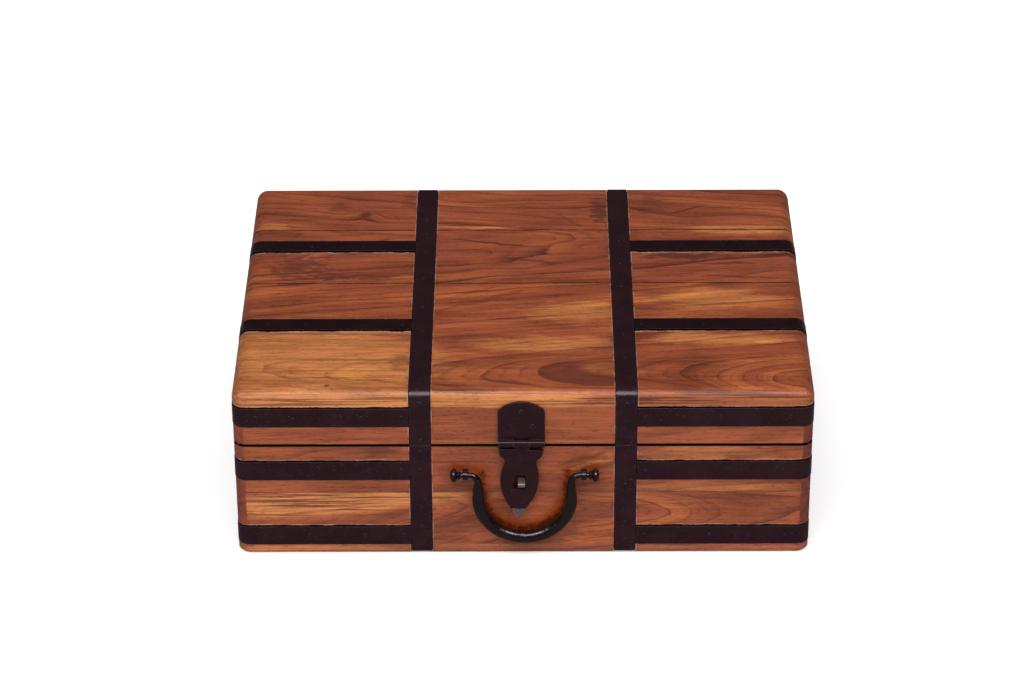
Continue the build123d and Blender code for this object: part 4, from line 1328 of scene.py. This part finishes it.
class DITTY_OT_handle(bpy.types.Operator):
    """Forge the drop handle and dress its split pins."""

    bl_idname = "ditty.handle"
    bl_label = "Drop Handle"

    def execute(self, context):
        look = context.scene.ditty_iron
        iron = all_iron(look)["handle_iron"]
        points, radii = bail_path(context.scene.ditty_handle)
        links = [(first, first + 1) for first in range(len(points) - 1)]
        mesh = bpy.data.meshes.new("handle_bail_forged")
        mesh.from_pydata(points, links, [])
        thickness = mesh.attributes.new("thickness", "FLOAT", "POINT")
        thickness.data.foreach_set("value", radii)
        bail = new_object("handle_bail_forged", mesh)
        grown(bail, make_bail_tree(), Hammer_Depth=0.35 * MM, Material=iron)
        settle(bail, "handle", "handle_iron", iron, "handle_bail")
        for side in SIDES:
            dressed(f"handle_eye_{side}", "base", "bright_iron", iron, look.edge * 2)
        return {"FINISHED"}


# ---------------------------------------------------------------- stage
def set_camera(scene, lens):
    """A camera above the front, a little turned and rolled."""
    camera_place = (0.000485, -2.2007, 1.40033)
    pitch, roll, yaw = 0.53875, -0.0042187, -0.0038117
    data = bpy.data.cameras.new("Camera")
    data.lens = lens
    data.sensor_width = 36.0
    data.sensor_fit = "HORIZONTAL"
    data.clip_start, data.clip_end = 0.05, 50.0
    ahead = Vector((sin(yaw) * cos(pitch), cos(yaw) * cos(pitch), -sin(pitch)))
    right = Vector((cos(yaw), -sin(yaw), 0.0))
    up = right.cross(ahead)
    rolled_right = cos(roll) * right + sin(roll) * up
    rolled_up = cos(roll) * up - sin(roll) * right
    turn = Matrix((rolled_right, rolled_up, -ahead)).transposed().to_4x4()
    scene.camera = new_object("Camera", data)
    scene.camera.matrix_world = Matrix.Translation(camera_place) @ turn


def set_sky(scene, strength):
    """White light from all round, weaker in reflections, on a white ground."""
    world = bpy.data.worlds.new("Surroundings")
    scene.world = world
    world.use_nodes = True
    world.node_tree.nodes.clear()
    n = Nodes(world.node_tree)
    rays = n.outs(n.add("ShaderNodeLightPath"))
    seen = n.larger(rays["Is Camera Ray"], rays["Is Transmission Ray"])
    strength = n.larger(strength * (1.0 - rays["Is Glossy Ray"] * 0.9), seen)
    white = n.out("ShaderNodeBackground", {"Color": WHITE, "Strength": strength})
    n.add("ShaderNodeOutputWorld", {"Surface": white})


def set_lights(corner_strength, middle_strength):
    """Three wide lights above the front."""
    corner_spread, middle_spread = 22.0, 32.0
    keys = {
        "Left Key": ((-0.92, -1.0, 1.48), corner_strength, corner_spread),
        "Right Key": ((0.92, -1.0, 1.48), corner_strength, corner_spread),
        "Middle Key": ((-0.1, -1.4, 2.1), middle_strength, middle_spread),
    }
    for name, (place, strength, spread) in keys.items():
        data = bpy.data.lights.new(name, "SUN")
        data.energy = strength
        data.angle = radians(spread)
        key = new_object(name, data)
        key.location = place
        key.rotation_euler = (-key.location).to_track_quat("-Z", "Y").to_euler()


def floor_material():
    """White paper that keeps shadows, clear from underneath and to what rests on it."""
    shade, shade_in_gloss = (0.95, 0.95, 0.95, 1.0), (0.12, 0.12, 0.12, 1.0)
    touch_distance = 1.0 * MM
    material = bpy.data.materials.new("White Floor")
    material.use_nodes = True
    n = Nodes(material.node_tree)
    paper = material.node_tree.nodes["Principled BSDF"]
    rays = n.outs(n.add("ShaderNodeLightPath"))
    colour = n.blend(rays["Is Glossy Ray"], shade, shade_in_gloss)
    lit = rays["Is Camera Ray"] * 0.24
    n.wire(paper, Base_Color=colour, Roughness=0.9, Emission_Color=WHITE, Emission_Strength=lit)
    clear = n.out("ShaderNodeBsdfTransparent")
    touching = rays["Ray Length"] < touch_distance
    under = n.larger(n.out("ShaderNodeNewGeometry", socket="Backfacing"), touching)
    sheet = n.out("ShaderNodeMixShader", {0: under, 1: Value(n, paper.outputs[0]), 2: clear})
    n.wire(material.node_tree.nodes["Material Output"], Surface=sheet)
    return material


def set_floor():
    """A wide white sheet just under the box."""
    half, height = 6.0, -0.05 * MM
    corners = [(x * half, y * half, height) for x, y in ((-1, -1), (1, -1), (1, 1), (-1, 1))]
    mesh = bpy.data.meshes.new("Floor")
    mesh.from_pydata(corners, [], [(0, 1, 2, 3)])
    mesh.materials.append(floor_material())
    new_object("Floor", mesh)


class DITTY_OT_stage(bpy.types.Operator):
    """Set the camera, the lights and the white floor."""

    bl_idname = "ditty.stage"
    bl_label = "Stage"

    def execute(self, context):
        look, scene = context.scene.ditty_stage, context.scene
        scene.view_settings.view_transform = "Standard"
        set_camera(scene, look.lens)
        set_sky(scene, look.sky)
        set_lights(look.corner_light, look.middle_light)
        set_floor()
        return {"FINISHED"}


# ---------------------------------------------------------------- the add-on
SETTINGS = {
    "ditty_timber": TimberSettings,
    "ditty_iron": IronSettings,
    "ditty_nails": NailSettings,
    "ditty_handle": HandleSettings,
    "ditty_stage": StageSettings,
}
OPERATORS = [
    DITTY_OT_stage,
    DITTY_OT_boards,
    DITTY_OT_straps,
    DITTY_OT_hinges,
    DITTY_OT_hasp,
    DITTY_OT_nails,
    DITTY_OT_handle,
]


class DITTY_PT_panel(bpy.types.Panel):
    """Lists the steps that dress the box, and the settings."""

    bl_idname = "DITTY_PT_panel"
    bl_label = "Ditty Box"
    bl_space_type = "VIEW_3D"
    bl_region_type = "UI"
    bl_category = "Ditty Box"

    def draw(self, context):
        for operator in OPERATORS:
            self.layout.operator(operator.bl_idname)
        for name in SETTINGS:
            settings = getattr(context.scene, name)
            column = self.layout.box().column()
            for prop in settings.bl_rna.properties:
                if prop.identifier not in ("rna_type", "name"):
                    column.prop(settings, prop.identifier)


CLASSES = [*SETTINGS.values(), *OPERATORS, DITTY_PT_panel]


def register():
    for item in CLASSES:
        bpy.utils.register_class(item)
    for name, settings in SETTINGS.items():
        setattr(bpy.types.Scene, name, PointerProperty(type=settings))


def unregister():
    for name in SETTINGS:
        delattr(bpy.types.Scene, name)
    for item in reversed(CLASSES):
        bpy.utils.unregister_class(item)


def main():
    """Registers the add-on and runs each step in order."""
    register()
    for operator in OPERATORS:
        group, step = operator.bl_idname.split(".")
        getattr(getattr(bpy.ops, group), step)()


if __name__ == "__main__":
    main()
